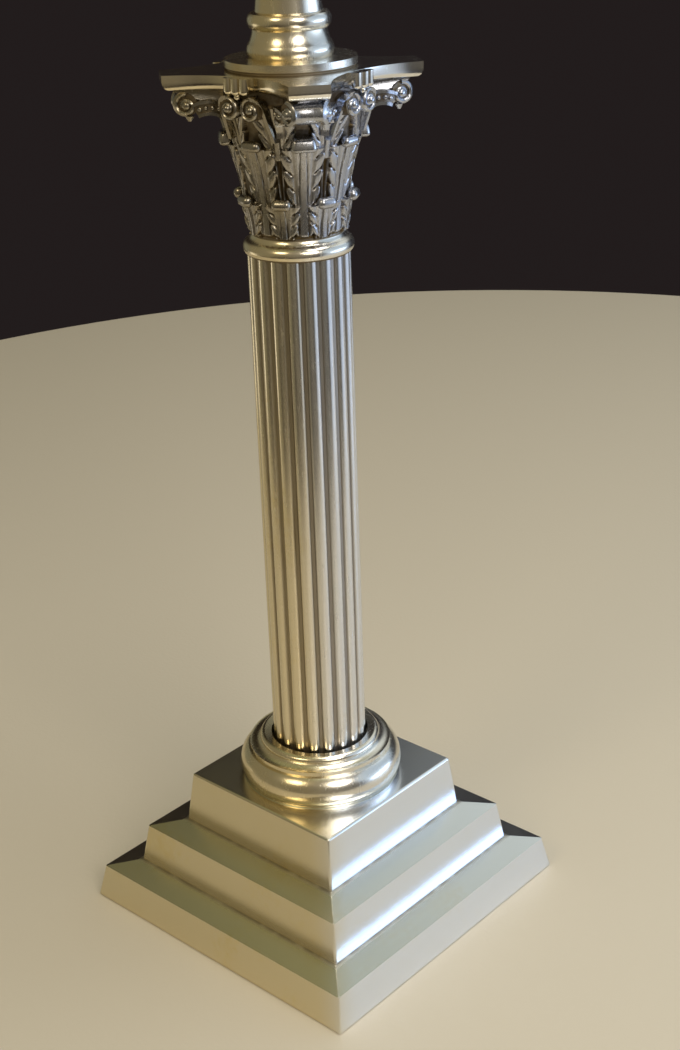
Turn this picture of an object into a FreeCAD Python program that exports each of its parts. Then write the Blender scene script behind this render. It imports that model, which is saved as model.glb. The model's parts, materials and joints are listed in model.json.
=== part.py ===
import FreeCAD, Part
import math
import os
import re
import Sketcher

os.makedirs("parts", exist_ok=True)

doc = FreeCAD.newDocument("column_oil_lamp")
sheet = doc.addObject("Spreadsheet::Sheet", "Sizes")
Vector = FreeCAD.Vector

# Driving dimensions in millimetres, turns in degrees, one group for each piece.
# Heights are measured from the seat of the piece that they belong to.
sizes = {
    # Stepped base: half widths at the foot of each tier, inward lean and height of the risers.
    "tier_one_half": 76.0,
    "tier_two_half": 60.36,
    "tier_three_half": 44.5,
    "tier_one_lean": 3.16,
    "tier_lean": 2.8,
    "riser_one": 15.93,
    "riser_two": 18.1,
    "riser_three": 24.17,
    "tread_rise": 2.6,
    "base_wall": 2.4,
    "base_corner": 1.0,
    "base_edge": 0.6,
    # Board, felt and screws under the base.
    "felt_lift": 0.6,
    "felt_thickness": 1.4,
    "board_thickness": 5.5,
    "board_half": 70.0,
    "lug_reach": 64.5,
    "lug_width": 7.0,
    "screw_shank": 1.5,
    "screw_head": 3.0,
    "screw_head_height": 2.0,
    "screw_depth": 5.0,
    "screw_clearance": 0.1,
    # Tie rod, its nuts and washer, and the weight that they clamp.
    "rod_radius": 4.75,
    "rod_clearance": 0.3,
    "thread_clearance": 0.05,
    "rod_tail": 1.0,
    "nut_across": 17.0,
    "nut_height": 8.0,
    "nut_room": 2.0,
    "washer_radius": 18.0,
    "washer_height": 3.0,
    "weight_half": 37.5,
    "weight_corner": 4.0,
    # Column foot.
    "foot_radius": 34.8,
    "foot_floor": 2.6,
    "foot_band": 0.9,
    "torus_round": 9.6,
    "torus_shoulder": 32.6,
    "torus_height": 13.1,
    "fillet_radius": 31.7,
    "fillet_height": 2.3,
    "cove_round": 4.6,
    "cove_radius": 27.0,
    "cove_height": 1.7,
    "roll_round": 2.3,
    "roll_crown": 25.0,
    "roll_height": 2.5,
    "roll_dip": 0.3,
    "foot_bore": 21.9,
    "spigot_height": 5.0,
    "spigot_wall": 2.0,
    "spigot_gap": 0.2,
    # Reeded column.
    "column_radius": 20.75,
    "column_height": 238.6,
    "column_bore": 17.4,
    "column_turn": 5.0,
    "reed_count": 18,
    "reed_rise": 1.45,
    "reed_half": 2.75,
    # Necking ring.
    "ring_height": 8.4,
    "ring_foot": 20.9,
    "ring_bead_round": 3.4,
    "ring_bead_height": 5.7,
    "ring_bead_top": 20.4,
    "ring_cove_round": 3.4,
    "ring_top": 18.5,
    "ring_bore": 12.0,
    # Capital: bell.
    "capital_turn": 5.6,
    "capital_height": 57.5,
    "capital_bore": 14.5,
    "capital_mouth": 23.0,
    "bell_foot": 18.2,
    "bell_lip": 28.4,
    "bell_lip_height": 4.5,
    "bell_flare": 175.0,
    # Capital: leaves.
    "leaf_count": 8,
    "leaf_sink": 1.2,
    "lower_foot": 19.6,
    "lower_swell": 24.0,
    "lower_shoulder": 21.6,
    "lower_shoulder_height": 11.3,
    "lower_lobe": 5.0,
    "lower_tip": 24.6,
    "lower_tip_height": 14.6,
    "lower_roll": 2.0,
    "lower_tip_half": 3.7,
    "upper_foot": 20.3,
    "upper_flare": 180.0,
    "upper_shoulder": 25.1,
    "upper_shoulder_height": 34.0,
    "upper_lobe": 6.0,
    "upper_tip": 28.4,
    "upper_tip_height": 37.0,
    "upper_roll": 1.95,
    "upper_tip_half": 4.2,
    "roll_neck": 1.3,
    "lobe_bend": 0.6,
    "leaf_seam": 0.5,
    "leaf_eye": 1.7,
    "rib_width": 2.6,
    "rib_proud": 0.5,
    # Capital: squared tips of the corner leaves.
    "corner_tip": 29.6,
    "corner_tip_height": 37.6,
    "corner_tip_deep": 5.2,
    "corner_tip_tall": 4.7,
    "corner_tip_width": 9.8,
    "corner_tip_round": 1.4,
    # Capital: stalks between the leaves.
    "stalk_foot": 20.7,
    "stalk_foot_height": 14.0,
    "stalk_foot_round": 1.3,
    "stalk_top": 24.8,
    "stalk_top_height": 40.0,
    "stalk_top_round": 2.5,
    # Capital: corner volutes, wedge-shaped in plan, and the arched tails behind them.
    "volute_reach": 41.3,
    "volute_height": 51.9,
    "volute_radius": 4.9,
    "volute_front_half": 5.8,
    "volute_back": 34.5,
    "volute_back_half": 11.6,
    "volute_root": 21.5,
    "volute_root_half": 9.4,
    "volute_sunk": 1.3,
    "tail_reach": 33.3,
    "tail_height": 41.2,
    "tail_arch": 7.0,
    "tail_band": 5.6,
    "tail_turn": 35.0,
    # Capital: inner scrolls and the stems that rise to them from the stalks.
    "scroll_reach": 33.4,
    "scroll_offset": 4.6,
    "scroll_height": 52.3,
    "scroll_radius": 4.0,
    "scroll_proud": 1.3,
    "scroll_shrink": 0.115,
    "scroll_strip": 0.24,
    "scroll_quarters": 6,
    "stem_round": 5.2,
    "stem_thick": 1.5,
    "stem_reach": 31.0,
    "stem_foot_reach": 25.4,
    # Abacus and fleurons.
    "abacus_height": 5.56,
    "abacus_waist": 30.3,
    "abacus_ovolo": 2.8,
    "horn_reach": 49.87,
    "horn_half": 7.63,
    "fleuron_half": 4.5,
    "fleuron_reach": 34.9,
    "fleuron_round": 1.65,
    "fleuron_drop": 0.8,
    "bead_round": 1.5,
    # Font socket: flange, stem, bead ring, neck and cup.
    "flange_radius": 25.5,
    "flange_height": 3.6,
    "flange_lift": 0.9,
    "flange_recess": 0.9,
    "stem_foot": 15.8,
    "stem_bulge_round": 4.65,
    "stem_bulge_height": 5.0,
    "stem_shoulder": 16.1,
    "stem_sweep_round": 11.5,
    "stem_waist": 14.24,
    "stem_sweep_height": 5.3,
    "stem_bead_foot": 15.0,
    "stem_bead_round": 4.1,
    "stem_bead_height": 5.4,
    "stem_step": 0.5,
    "neck_foot": 12.9,
    "neck_radius": 12.2,
    "neck_height": 6.6,
    "cup_flare_round": 18.3,
    "cup_flare_height": 18.0,
    "cup_radius": 33.8,
    "cup_bore": 30.6,
    "cup_bottom": 2.0,
    "cup_depth": 9.0,
    "cup_rim_round": 1.4,
    "nut_recess": 11.0,
    "nut_recess_depth": 10.0,
    # Oil reservoir and its bayonet collar.
    "seat_gap": 0.4,
    "font_wall": 1.5,
    "font_boss_height": 10.0,
    "font_radius": 61.0,
    "font_lower_height": 36.0,
    "font_lower_round": 36.6,
    "font_upper_height": 35.0,
    "font_upper_round": 36.2,
    "font_neck": 34.0,
    "font_neck_height": 2.0,
    "font_mouth": 28.5,
    "collar_flange": 36.0,
    "collar_radius": 34.0,
    "collar_floor": 2.5,
    "collar_height": 10.0,
    "collar_lip": 29.6,
    "collar_lip_height": 2.0,
    "collar_groove": 31.8,
    "bayonet_turn": 40.0,
    "notch_half": 4.5,
    # Burner casing.
    "drum_radius": 30.0,
    "drum_wall": 1.4,
    "drum_height": 24.0,
    "drum_flange": 35.5,
    "drum_flange_height": 2.2,
    "drum_floor": 1.6,
    "insert_depth": 7.2,
    "lug_reach_out": 31.2,
    "lug_half": 3.5,
    "lug_height": 3.0,
    "lug_drop": 6.0,
    "basket_height": 16.5,
    "basket_foot": 31.2,
    "basket_radius": 43.0,
    "basket_round": 16.0,
    "basket_wall": 1.4,
    "basket_shelf": 24.5,
    "air_slot_count": 16,
    "air_slot_half": 1.7,
    "air_slot_foot": 3.6,
    "air_slot_top": 11.8,
    "slot_ease": 1.02,
    # Wick tubes, wicks, winders.
    "wick_offset": 7.0,
    "wick_half": 14.0,
    "wick_thickness": 3.2,
    "wick_gap": 0.6,
    "tube_wall": 0.6,
    "tube_drop": 14.0,
    "tube_top": 46.0,
    "wick_tail": 74.0,
    "wick_stand": 2.0,
    "spindle_height": 10.0,
    "spindle_radius": 1.5,
    "spindle_fit": 0.08,
    "spindle_reach": 45.0,
    "spindle_tail": 27.0,
    "wheel_radius": 5.0,
    "wheel_root": 4.3,
    "wheel_teeth": 12,
    "wheel_width": 2.4,
    "wheel_spread": 7.0,
    "wheel_gap": 0.3,
    "knob_radius": 9.6,
    "knob_width": 3.2,
    "knob_lobes": 14,
    "knob_lobe_round": 2.4,
    "knob_hub": 4.0,
    "knob_hub_length": 3.0,
    # Flame dome, gallery and chimney.
    "dome_flange": 29.4,
    "dome_base": 26.2,
    "dome_height": 15.0,
    "dome_wall": 0.9,
    "dome_slot_half": 3.2,
    "gallery_floor": 1.4,
    "gallery_bore": 29.8,
    "finger_wall": 0.9,
    "finger_height": 15.0,
    "finger_lip": 1.6,
    "finger_count": 12,
    "finger_gap_half": 3.0,
    "chimney_foot": 32.0,
    "chimney_gap": 0.5,
    "chimney_wall": 1.8,
    "chimney_foot_height": 14.0,
    "chimney_bulge_round": 86.0,
    "chimney_throat": 24.0,
    "chimney_throat_height": 86.0,
    "chimney_neck_round": 15.0,
    "chimney_neck": 21.82,
    "chimney_neck_height": 93.8,
    "chimney_top": 21.0,
    "chimney_height": 242.0,
}

for row, (alias, number) in enumerate(sizes.items(), start=1):
    sheet.set(f"A{row}", alias)
    sheet.set(f"B{row}", str(number))
    sheet.setAlias(f"B{row}", alias)
doc.recompute()

# Half widths and heights of the base, and the seats of the pieces stacked on it.
rim_one = "(tier_one_half - tier_one_lean)"
rim_two = "(tier_two_half - tier_lean)"
rim_three = "(tier_three_half - tier_lean)"
foot_two = "(riser_one + tread_rise)"
top_two = "(riser_one + tread_rise + riser_two)"
foot_three = "(riser_one + riser_two + 2 * tread_rise)"
plinth_top = "(riser_one + riser_two + riser_three + 2 * tread_rise)"
board_seat = "(felt_lift + felt_thickness)"
board_top = "(felt_lift + felt_thickness + board_thickness)"
nut_seat = f"({board_top} + nut_room)"
washer_seat = f"({nut_seat} + nut_height)"
weight_seat = f"({washer_seat} + washer_height)"
column_seat = f"({plinth_top} + foot_floor)"
ring_seat = f"({column_seat} + column_height)"
capital_seat = f"({ring_seat} + ring_height)"
abacus_seat = f"({capital_seat} + capital_height)"
socket_seat = f"({abacus_seat} + abacus_height)"
bulge_top = "(flange_height + stem_bulge_height)"
waist_top = f"({bulge_top} + stem_sweep_height)"
bead_foot = f"({waist_top} + stem_step)"
bead_top = f"({bead_foot} + stem_bead_height)"
neck_foot_height = f"({bead_top} + stem_step)"
neck_top = f"({neck_foot_height} + neck_height)"
cup_foot = f"({neck_top} + cup_flare_height)"
cup_floor = f"({cup_foot} + cup_bottom)"
recess_floor = f"({cup_floor} - nut_recess_depth)"
font_seat = f"({socket_seat} + {cup_floor})"
font_belly = "(font_boss_height + font_lower_height)"
font_shoulder = f"({font_belly} + font_upper_height)"
font_top = f"({font_shoulder} + font_neck_height)"
collar_seat = f"({font_seat} + {font_top})"
burner_seat = f"({collar_seat} + collar_height)"
basket_seat = f"({burner_seat} + drum_height)"
gallery_seat = f"({basket_seat} + basket_height)"
chimney_seat = f"({gallery_seat} + gallery_floor)"
rod_hole = "(rod_radius + rod_clearance)"
spindle_offset = "(wick_offset + wick_thickness / 2 + wheel_gap + wheel_radius)"
tube_half = "(wick_half + wick_gap + tube_wall)"
tube_depth = "(wick_thickness / 2 + wick_gap + tube_wall)"


def tied(text):
    return re.sub(r"[a-z_]+", lambda word: f"Sizes.{word[0]}" if word[0] in sizes else word[0], text)


def value(text):
    return float(sheet.evalExpression(text))


def new_body(name, seat="0", turn="0"):
    body = doc.addObject("PartDesign::Body", name)
    body.Label = name
    set_seat(body, seat, turn)
    return body


def set_seat(piece, seat, turn="0"):
    if seat != "0":
        piece.setExpression("Placement.Base.z", tied(seat))
    if turn != "0":
        piece.setExpression("Placement.Rotation.Angle", tied(f"({turn}) * 1 deg"))


def origin_feature(body, role):
    return next(feature for feature in body.Origin.OriginFeatures if feature.Role == role)


def sketch_on(body, role, name, lift="0"):
    sketch = body.newObject("Sketcher::SketchObject", name)
    sketch.AttachmentSupport = [(origin_feature(body, role), "")]
    sketch.MapMode = "FlatFace"
    if lift != "0":
        sketch.setExpression("AttachmentOffset.Base.z", tied(lift))
    return sketch


def arc_between(start, end, turn, radius):
    side = 1 if turn == "left" else -1
    chord = end - start
    rise = math.sqrt(max(radius ** 2 - (chord.Length / 2) ** 2, 0))
    across = Vector(-chord.y, chord.x, 0).normalize()
    centre = (start + end) * 0.5 + across * (side * rise)
    first, last = (start, end) if turn == "left" else (end, start)
    angles = [math.atan2(point.y - centre.y, point.x - centre.x) for point in (first, last)]
    return Part.ArcOfCircle(Part.Circle(centre, Vector(0, 0, 1), radius), *angles)


def place(geometry, point, across, up):
    rules = []
    if across == "0":
        rules.append((Sketcher.Constraint("PointOnObject", geometry, point, -2), None))
    else:
        rule = Sketcher.Constraint("DistanceX", -1, 1, geometry, point, value(across))
        rules.append((rule, across))
    if up == "0":
        rules.append((Sketcher.Constraint("PointOnObject", geometry, point, -1), None))
    else:
        rule = Sketcher.Constraint("DistanceY", -1, 1, geometry, point, value(up))
        rules.append((rule, up))
    return rules


def tie_rules(sketch, rules):
    first = sketch.ConstraintCount
    sketch.addConstraint([rule for rule, text in rules])
    for index, (rule, text) in enumerate(rules):
        if text is not None:
            sketch.setExpression(f"Constraints[{first + index}]", tied(text))


# A closed outline through its corners. A corner with a turn and a radius starts an arc.
def outline(sketch, corners):
    places = [Vector(value(corner[0]), value(corner[1]), 0) for corner in corners]
    first = sketch.GeometryCount
    count = len(corners)
    ends = []
    rules = []
    for index, corner in enumerate(corners):
        start, end = places[index], places[(index + 1) % count]
        if len(corner) == 2:
            sketch.addGeometry(Part.LineSegment(start, end))
            ends.append((1, 2))
        else:
            turn, radius = corner[2:]
            sketch.addGeometry(arc_between(start, end, turn, value(radius)))
            ends.append((1, 2) if turn == "left" else (2, 1))
            rules.append((Sketcher.Constraint("Radius", first + index, value(radius)), radius))
    for index, corner in enumerate(corners):
        follower = (index + 1) % count
        joint = (first + index, ends[index][1], first + follower, ends[follower][0])
        rules.append((Sketcher.Constraint("Coincident", *joint), None))
        rules += place(first + index, ends[index][0], corner[0], corner[1])
    tie_rules(sketch, rules)


def circle(sketch, radius, across="0", up="0"):
    centre = Vector(value(across), value(up), 0)
    geometry = sketch.addGeometry(Part.Circle(centre, Vector(0, 0, 1), value(radius)))
    rules = [(Sketcher.Constraint("Radius", geometry, value(radius)), radius)]
    if across == "0" and up == "0":
        rules.append((Sketcher.Constraint("Coincident", geometry, 3, -1, 1), None))
    else:
        rules += place(geometry, 3, across, up)
    tie_rules(sketch, rules)


def rectangle(sketch, left, right, bottom, top):
    outline(sketch, [(left, bottom), (right, bottom), (right, top), (left, top)])


def rounded_square(sketch, half, corner):
    near, far = f"({half} - {corner})", f"({half})"
    outline(sketch, [
        (f"-{near}", f"-{far}"), (near, f"-{far}", "left", corner),
        (far, f"-{near}"), (far, near, "left", corner),
        (near, far), (f"-{near}", far, "left", corner),
        (f"-{far}", near), (f"-{far}", f"-{near}", "left", corner),
    ])


def revolve(body, corners):
    sketch = sketch_on(body, "XZ_Plane", "profile")
    outline(sketch, corners)
    turned = body.newObject("PartDesign::Revolution", "turned")
    turned.Profile = sketch
    turned.ReferenceAxis = (sketch, ["V_Axis"])
    turned.Angle = 360
    return turned


def turned_piece(name, seat, corners, turn="0"):
    body = new_body(name, seat, turn)
    revolve(body, corners)
    return body


def pad(body, sketch, length, both_ways=False):
    feature = body.newObject("PartDesign::Pad", "pad")
    feature.Profile = sketch
    feature.setExpression("Length", tied(length))
    if both_ways:
        feature.SideType = "Symmetric"
    return feature


# A cut from the sketch against its normal, or along it when reversed.
def pocket(body, sketch, length, along=False, both_ways=False):
    feature = body.newObject("PartDesign::Pocket", "pocket")
    feature.Profile = sketch
    feature.setExpression("Length", tied(length))
    feature.Reversed = along
    if both_ways:
        feature.SideType = "Symmetric"
    return feature


def around(body, features, count):
    pattern = body.newObject("PartDesign::PolarPattern", "around")
    pattern.Originals = features
    pattern.Axis = (origin_feature(body, "Z_Axis"), [""])
    pattern.Angle = 360
    pattern.setExpression("Occurrences", tied(count))
    body.Tip = pattern
    return pattern


def loft(body, kind, sections):
    feature = body.newObject(f"PartDesign::{kind}", "loft")
    feature.Profile = sections[0]
    feature.Sections = sections[1:]
    feature.Ruled = True
    return feature


def edges_at(shape, height):
    names = []
    for index, edge in enumerate(shape.Edges, start=1):
        if all(abs(vertex.Z - height) < 0.01 for vertex in edge.Vertexes):
            names.append(f"Edge{index}")
    return names


def rounded_edges(body, feature, height, radius):
    doc.recompute()
    fillet = body.newObject("PartDesign::Fillet", "rounded")
    fillet.Base = (feature, edges_at(feature.Shape, value(height)))
    fillet.setExpression("Radius", tied(radius))
    return fillet


def square_sections(body, name, steps, inset):
    sections = []
    for half, height in steps:
        section = sketch_on(body, "XY_Plane", name, height)
        rounded_square(section, f"({half} - {inset})", "base_corner")
        sections.append(section)
    return sections


# Three battered tiers with sloping treads, each rim eased, hollow and open underneath.
def stepped_base():
    body = new_body("stepped_base")
    tiers = [("tier_one_half", "0", rim_one, "riser_one"),
             ("tier_two_half", foot_two, rim_two, top_two),
             ("tier_three_half", foot_three, rim_three, plinth_top)]
    outer, inner = [], []
    for half, foot, rim, top in tiers:
        outer += [(half, foot), (rim, f"({top} - base_edge)"), (f"({rim} - base_edge)", top)]
        inner += [(half, foot if foot == "0" else f"({foot} - base_wall)"), (rim, f"({top} - base_wall)")]
    loft(body, "AdditiveLoft", square_sections(body, "outer_section", outer, "0"))
    loft(body, "SubtractiveLoft", square_sections(body, "inner_section", inner, "base_wall"))
    bore = sketch_on(body, "XY_Plane", "rod_hole", plinth_top)
    circle(bore, rod_hole)
    pocket(body, bore, "2 * base_wall")
    lug = sketch_on(body, "XY_Plane", "board_lug", board_top)
    near, far = "(lug_reach - lug_width / 2)", "(lug_reach + lug_width / 2)"
    rectangle(lug, near, far, near, far)
    lug_pad = pad(body, lug, f"riser_one - {board_top}")
    around(body, [lug_pad], "4")
    hole = sketch_on(body, "XY_Plane", "lug_hole", board_top)
    circle(hole, "screw_shank + screw_clearance", "lug_reach", "lug_reach")
    hole_cut = pocket(body, hole, "screw_depth + screw_clearance", along=True)
    around(body, [hole_cut], "4")
    return body


def base_board():
    body = new_body("base_board", board_seat)
    plan = sketch_on(body, "XY_Plane", "plan")
    rounded_square(plan, "board_half", "base_corner")
    pad(body, plan, "board_thickness")
    cuts = []
    for radius, depth in (("screw_shank", "board_thickness"), ("screw_head", "screw_head_height")):
        hole = sketch_on(body, "XY_Plane", "screw_hole")
        circle(hole, f"{radius} + screw_clearance", "lug_reach", "lug_reach")
        cuts.append(pocket(body, hole, depth, along=True))
    around(body, cuts, "4")
    return body


def base_felt():
    body = new_body("base_felt", "felt_lift")
    plan = sketch_on(body, "XY_Plane", "plan")
    rounded_square(plan, "board_half", "base_corner")
    pad(body, plan, "felt_thickness")
    return body


def base_screws():
    body = new_body("base_screws", board_seat)
    solids = []
    for radius, height in (("screw_head", "screw_head_height"),
                           ("screw_shank", "board_thickness + screw_depth")):
        section = sketch_on(body, "XY_Plane", "section")
        circle(section, radius, "lug_reach", "lug_reach")
        solids.append(pad(body, section, f"{height} - screw_clearance"))
    around(body, solids, "4")
    return body


def hex_nut(name, seat):
    body = new_body(name, seat)
    plan = sketch_on(body, "XY_Plane", "plan")
    reach = 1 / math.sqrt(3)
    corners = []
    for side in range(6):
        angle = math.radians(60 * side)
        corners.append((f"nut_across * {reach * math.cos(angle):.6f}",
                        f"nut_across * {reach * math.sin(angle):.6f}" if side % 3 else "0"))
    outline(plan, corners)
    circle(plan, "rod_radius + thread_clearance")
    pad(body, plan, "nut_height")
    return body


def rod_washer():
    body = new_body("rod_washer", washer_seat)
    plan = sketch_on(body, "XY_Plane", "plan")
    circle(plan, "washer_radius")
    circle(plan, rod_hole)
    pad(body, plan, "washer_height")
    return body


def base_weight():
    body = new_body("base_weight", weight_seat)
    plan = sketch_on(body, "XY_Plane", "plan")
    rounded_square(plan, "weight_half", "weight_corner")
    circle(plan, rod_hole)
    pad(body, plan, f"{plinth_top} - base_wall - {weight_seat}")
    return body


def tie_rod():
    foot = f"({nut_seat} - rod_tail)"
    rod = doc.addObject("Part::Cylinder", "tie_rod")
    rod.Label = "tie_rod"
    rod.setExpression("Radius", tied("rod_radius"))
    rod.setExpression("Height", tied(f"{socket_seat} + {recess_floor} + nut_height + rod_tail - {foot}"))
    set_seat(rod, foot)
    return rod


def column_foot():
    torus_top = "(foot_band + torus_height)"
    fillet_top = f"({torus_top} + fillet_height)"
    cove_top = f"({fillet_top} + cove_height)"
    roll_top = f"({cove_top} + roll_height)"
    spigot = "(column_bore - spigot_gap)"
    spigot_top = "(foot_floor + spigot_height)"
    return turned_piece("column_foot", plinth_top, [
        (rod_hole, "0"), ("foot_radius", "0"),
        ("foot_radius", "foot_band", "left", "torus_round"),
        ("torus_shoulder", torus_top), ("fillet_radius", torus_top),
        ("fillet_radius", fillet_top, "right", "cove_round"),
        ("cove_radius", cove_top, "left", "roll_round"),
        ("roll_crown", roll_top), ("foot_bore", f"({roll_top} - roll_dip)"),
        ("foot_bore", "foot_floor"), (spigot, "foot_floor"), (spigot, spigot_top),
        (f"({spigot} - spigot_wall)", spigot_top), (f"({spigot} - spigot_wall)", "foot_floor"),
        (rod_hole, "foot_floor"),
    ])


def column_shaft():
    body = new_body("column_shaft", column_seat, "column_turn")
    groove = "(column_radius - reed_rise)"
    tube = sketch_on(body, "XY_Plane", "tube")
    circle(tube, groove)
    circle(tube, "column_bore")
    pad(body, tube, "column_height")
    edge = f"sqrt({groove} ^ 2 - reed_half ^ 2)"
    rise = f"(column_radius - {edge})"
    root = f"({edge} - reed_rise / 2)"
    reed = sketch_on(body, "XY_Plane", "reed")
    outline(reed, [
        (root, "-reed_half"),
        (edge, "-reed_half", "left", f"(reed_half ^ 2 + {rise} ^ 2) / (2 * {rise})"),
        (edge, "reed_half"), (root, "reed_half"),
    ])
    around(body, [pad(body, reed, "column_height")], "reed_count")
    return body


def necking_ring():
    lower, upper = "(column_bore - spigot_gap)", "(capital_bore - spigot_gap)"
    return turned_piece("necking_ring", ring_seat, [
        ("ring_bore", "-spigot_height"), (lower, "-spigot_height"), (lower, "0"),
        ("ring_foot", "0", "left", "ring_bead_round"),
        ("ring_bead_top", "ring_bead_height", "right", "ring_cove_round"),
        ("ring_top", "ring_height"), (upper, "ring_height"),
        (upper, "(ring_height + spigot_height)"), ("ring_bore", "(ring_height + spigot_height)"),
    ])


# The bell's outer radius at a height, on the arc that its outline draws.
def bell_radius(height):
    lip_foot = "(capital_height - bell_lip_height)"
    span = f"(sqrt((bell_lip - bell_foot) ^ 2 + {lip_foot} ^ 2))"
    rise = f"(sqrt(bell_flare ^ 2 - ({span} / 2) ^ 2))"
    centre_up = f"({lip_foot} / 2 - {rise} * (bell_lip - bell_foot) / {span})"
    centre_out = f"((bell_lip + bell_foot) / 2 + {rise} * {lip_foot} / {span})"
    return f"({centre_out} - sqrt(bell_flare ^ 2 - ({height} - {centre_up}) ^ 2))"


def capital_bell():
    lip_foot = "(capital_height - bell_lip_height)"
    return turned_piece("capital_bell", "0", [
        ("capital_bore", "0"), ("bell_foot", "0", "right", "bell_flare"),
        ("bell_lip", lip_foot), ("bell_lip", "capital_height"),
        ("capital_mouth", "capital_height"), ("capital_bore", "(2 * spigot_height)"),
    ])


# A ring that runs up the bell and rolls over at the top, cut into leaves by the gaps between them.
def leaf_row(name, turn, hook, gap):
    body = new_body(name, "0", turn)
    revolve(body, hook)
    seam = sketch_on(body, "YZ_Plane", "gap")
    left_side = [(f"-({corner[0]})", *corner[1:]) for corner in reversed(gap)]
    outline(seam, gap + mirrored_arcs(left_side))
    cut = pocket(body, seam, "upper_tip + volute_radius", along=True)
    around(body, [cut], "leaf_count")
    return body


# Going back down the other side, each arc starts at the corner where it ended going up.
def mirrored_arcs(corners):
    bends = [corner[2:] for corner in corners]
    return [corner[:2] + bend for corner, bend in zip(corners, bends[1:] + [()])]


def lower_leaves():
    neck = "(lower_tip - roll_neck * lower_roll)"
    crown = "(lower_tip_height + lower_roll)"
    sunk_mid = f"({bell_radius('lower_shoulder_height')} - leaf_sink)"
    sunk_top = f"({bell_radius(crown)} - leaf_sink)"
    pitch = "(lower_tip * sin(180 / leaf_count))"
    lobe = ("left", "lower_lobe * lobe_bend")
    return leaf_row("lower_leaves", "0", [
        ("(bell_foot - leaf_sink)", "leaf_seam"), ("lower_foot", "leaf_seam", "left", "lower_swell"),
        ("lower_shoulder", "lower_shoulder_height", "right", "lower_roll"),
        (neck, "(lower_tip_height - lower_roll)", "left", "lower_roll"),
        ("lower_tip", "lower_tip_height", "left", "lower_roll"),
        ("(lower_tip - lower_roll)", crown), (sunk_top, crown), (sunk_mid, "lower_shoulder_height"),
    ], [
        ("leaf_seam", "lower_shoulder_height - 2 * lower_lobe", *lobe),
        ("leaf_eye / 2", "lower_shoulder_height - lower_lobe", *lobe),
        ("leaf_eye", "lower_shoulder_height"),
        (f"{pitch} - lower_tip_half", "lower_shoulder_height"),
        (f"{pitch} - lower_tip_half", "lower_tip_height + 2 * lower_roll"),
    ])


def upper_leaves():
    neck = "(upper_tip - roll_neck * upper_roll)"
    crown = "(upper_tip_height + upper_roll)"
    half_up = "(upper_shoulder_height / 2)"
    sunk_foot = f"({bell_radius('lower_roll')} - leaf_sink)"
    sunk_mid = f"({bell_radius(half_up)} - leaf_sink)"
    sunk_top = f"({bell_radius(crown)} - leaf_sink)"
    pitch = "(upper_tip * sin(180 / leaf_count))"
    lobe = ("left", "upper_lobe * lobe_bend")
    return leaf_row("upper_leaves", "180 / leaf_count", [
        (sunk_foot, "lower_roll"), ("upper_foot", "lower_roll", "right", "upper_flare"),
        ("upper_shoulder", "upper_shoulder_height", "right", "upper_roll"),
        (neck, "(upper_tip_height - upper_roll)", "left", "upper_roll"),
        ("upper_tip", "upper_tip_height", "left", "upper_roll"),
        ("(upper_tip - upper_roll)", crown), (sunk_top, crown), (sunk_mid, half_up),
    ], [
        ("leaf_seam", "leaf_seam"),
        ("leaf_seam", "upper_shoulder_height - 3 * upper_lobe", *lobe),
        ("leaf_seam", "upper_shoulder_height - 2 * upper_lobe", *lobe),
        ("leaf_eye / 2", "upper_shoulder_height - upper_lobe", *lobe),
        ("leaf_eye", "upper_shoulder_height"),
        (f"{pitch} - upper_tip_half", "upper_shoulder_height"),
        (f"{pitch} - upper_tip_half", "upper_tip_height + 2 * upper_roll"),
    ])


# The raised midrib of every leaf in a row.
def leaf_ribs(row, turn, foot_height, bend):
    body = new_body(f"{row}_ribs", "0", turn)
    shoulder_height = f"{row}_shoulder_height"
    sunk_foot = f"({bell_radius(foot_height)} - leaf_sink)"
    sunk_top = f"({bell_radius(shoulder_height)} - leaf_sink)"
    strip = sketch_on(body, "XZ_Plane", "rib")
    outline(strip, [
        (sunk_foot, foot_height), (f"{row}_foot + rib_proud", foot_height, *bend),
        (f"{row}_shoulder + rib_proud", shoulder_height), (sunk_top, shoulder_height),
    ])
    around(body, [pad(body, strip, "rib_width", both_ways=True)], "leaf_count")
    return body


# The corner leaves end in a squared curl under each volute.
def corner_tips():
    body = new_body("corner_tips", "0", "45")
    inner, edge = "(corner_tip - corner_tip_deep)", "(corner_tip - corner_tip_round)"
    low = "(corner_tip_height - corner_tip_tall / 2)"
    high = "(corner_tip_height + corner_tip_tall / 2)"
    curl = ("left", "corner_tip_round")
    side = sketch_on(body, "XZ_Plane", "curl")
    outline(side, [
        (inner, low), (edge, low, *curl), ("corner_tip", f"{low} + corner_tip_round"),
        ("corner_tip", f"{high} - corner_tip_round", *curl), (edge, high), (inner, high),
    ])
    around(body, [pad(body, side, "corner_tip_width", both_ways=True)], "4")
    return body


def leaf_stalks():
    body = new_body("leaf_stalks", "0", "180 / leaf_count")
    sections = []
    for end in ("foot", "top"):
        section = sketch_on(body, "XY_Plane", "section", f"stalk_{end}_height")
        circle(section, f"stalk_{end}_round", f"stalk_{end}")
        sections.append(section)
    around(body, [loft(body, "AdditiveLoft", sections)], "leaf_count")
    return body


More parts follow.
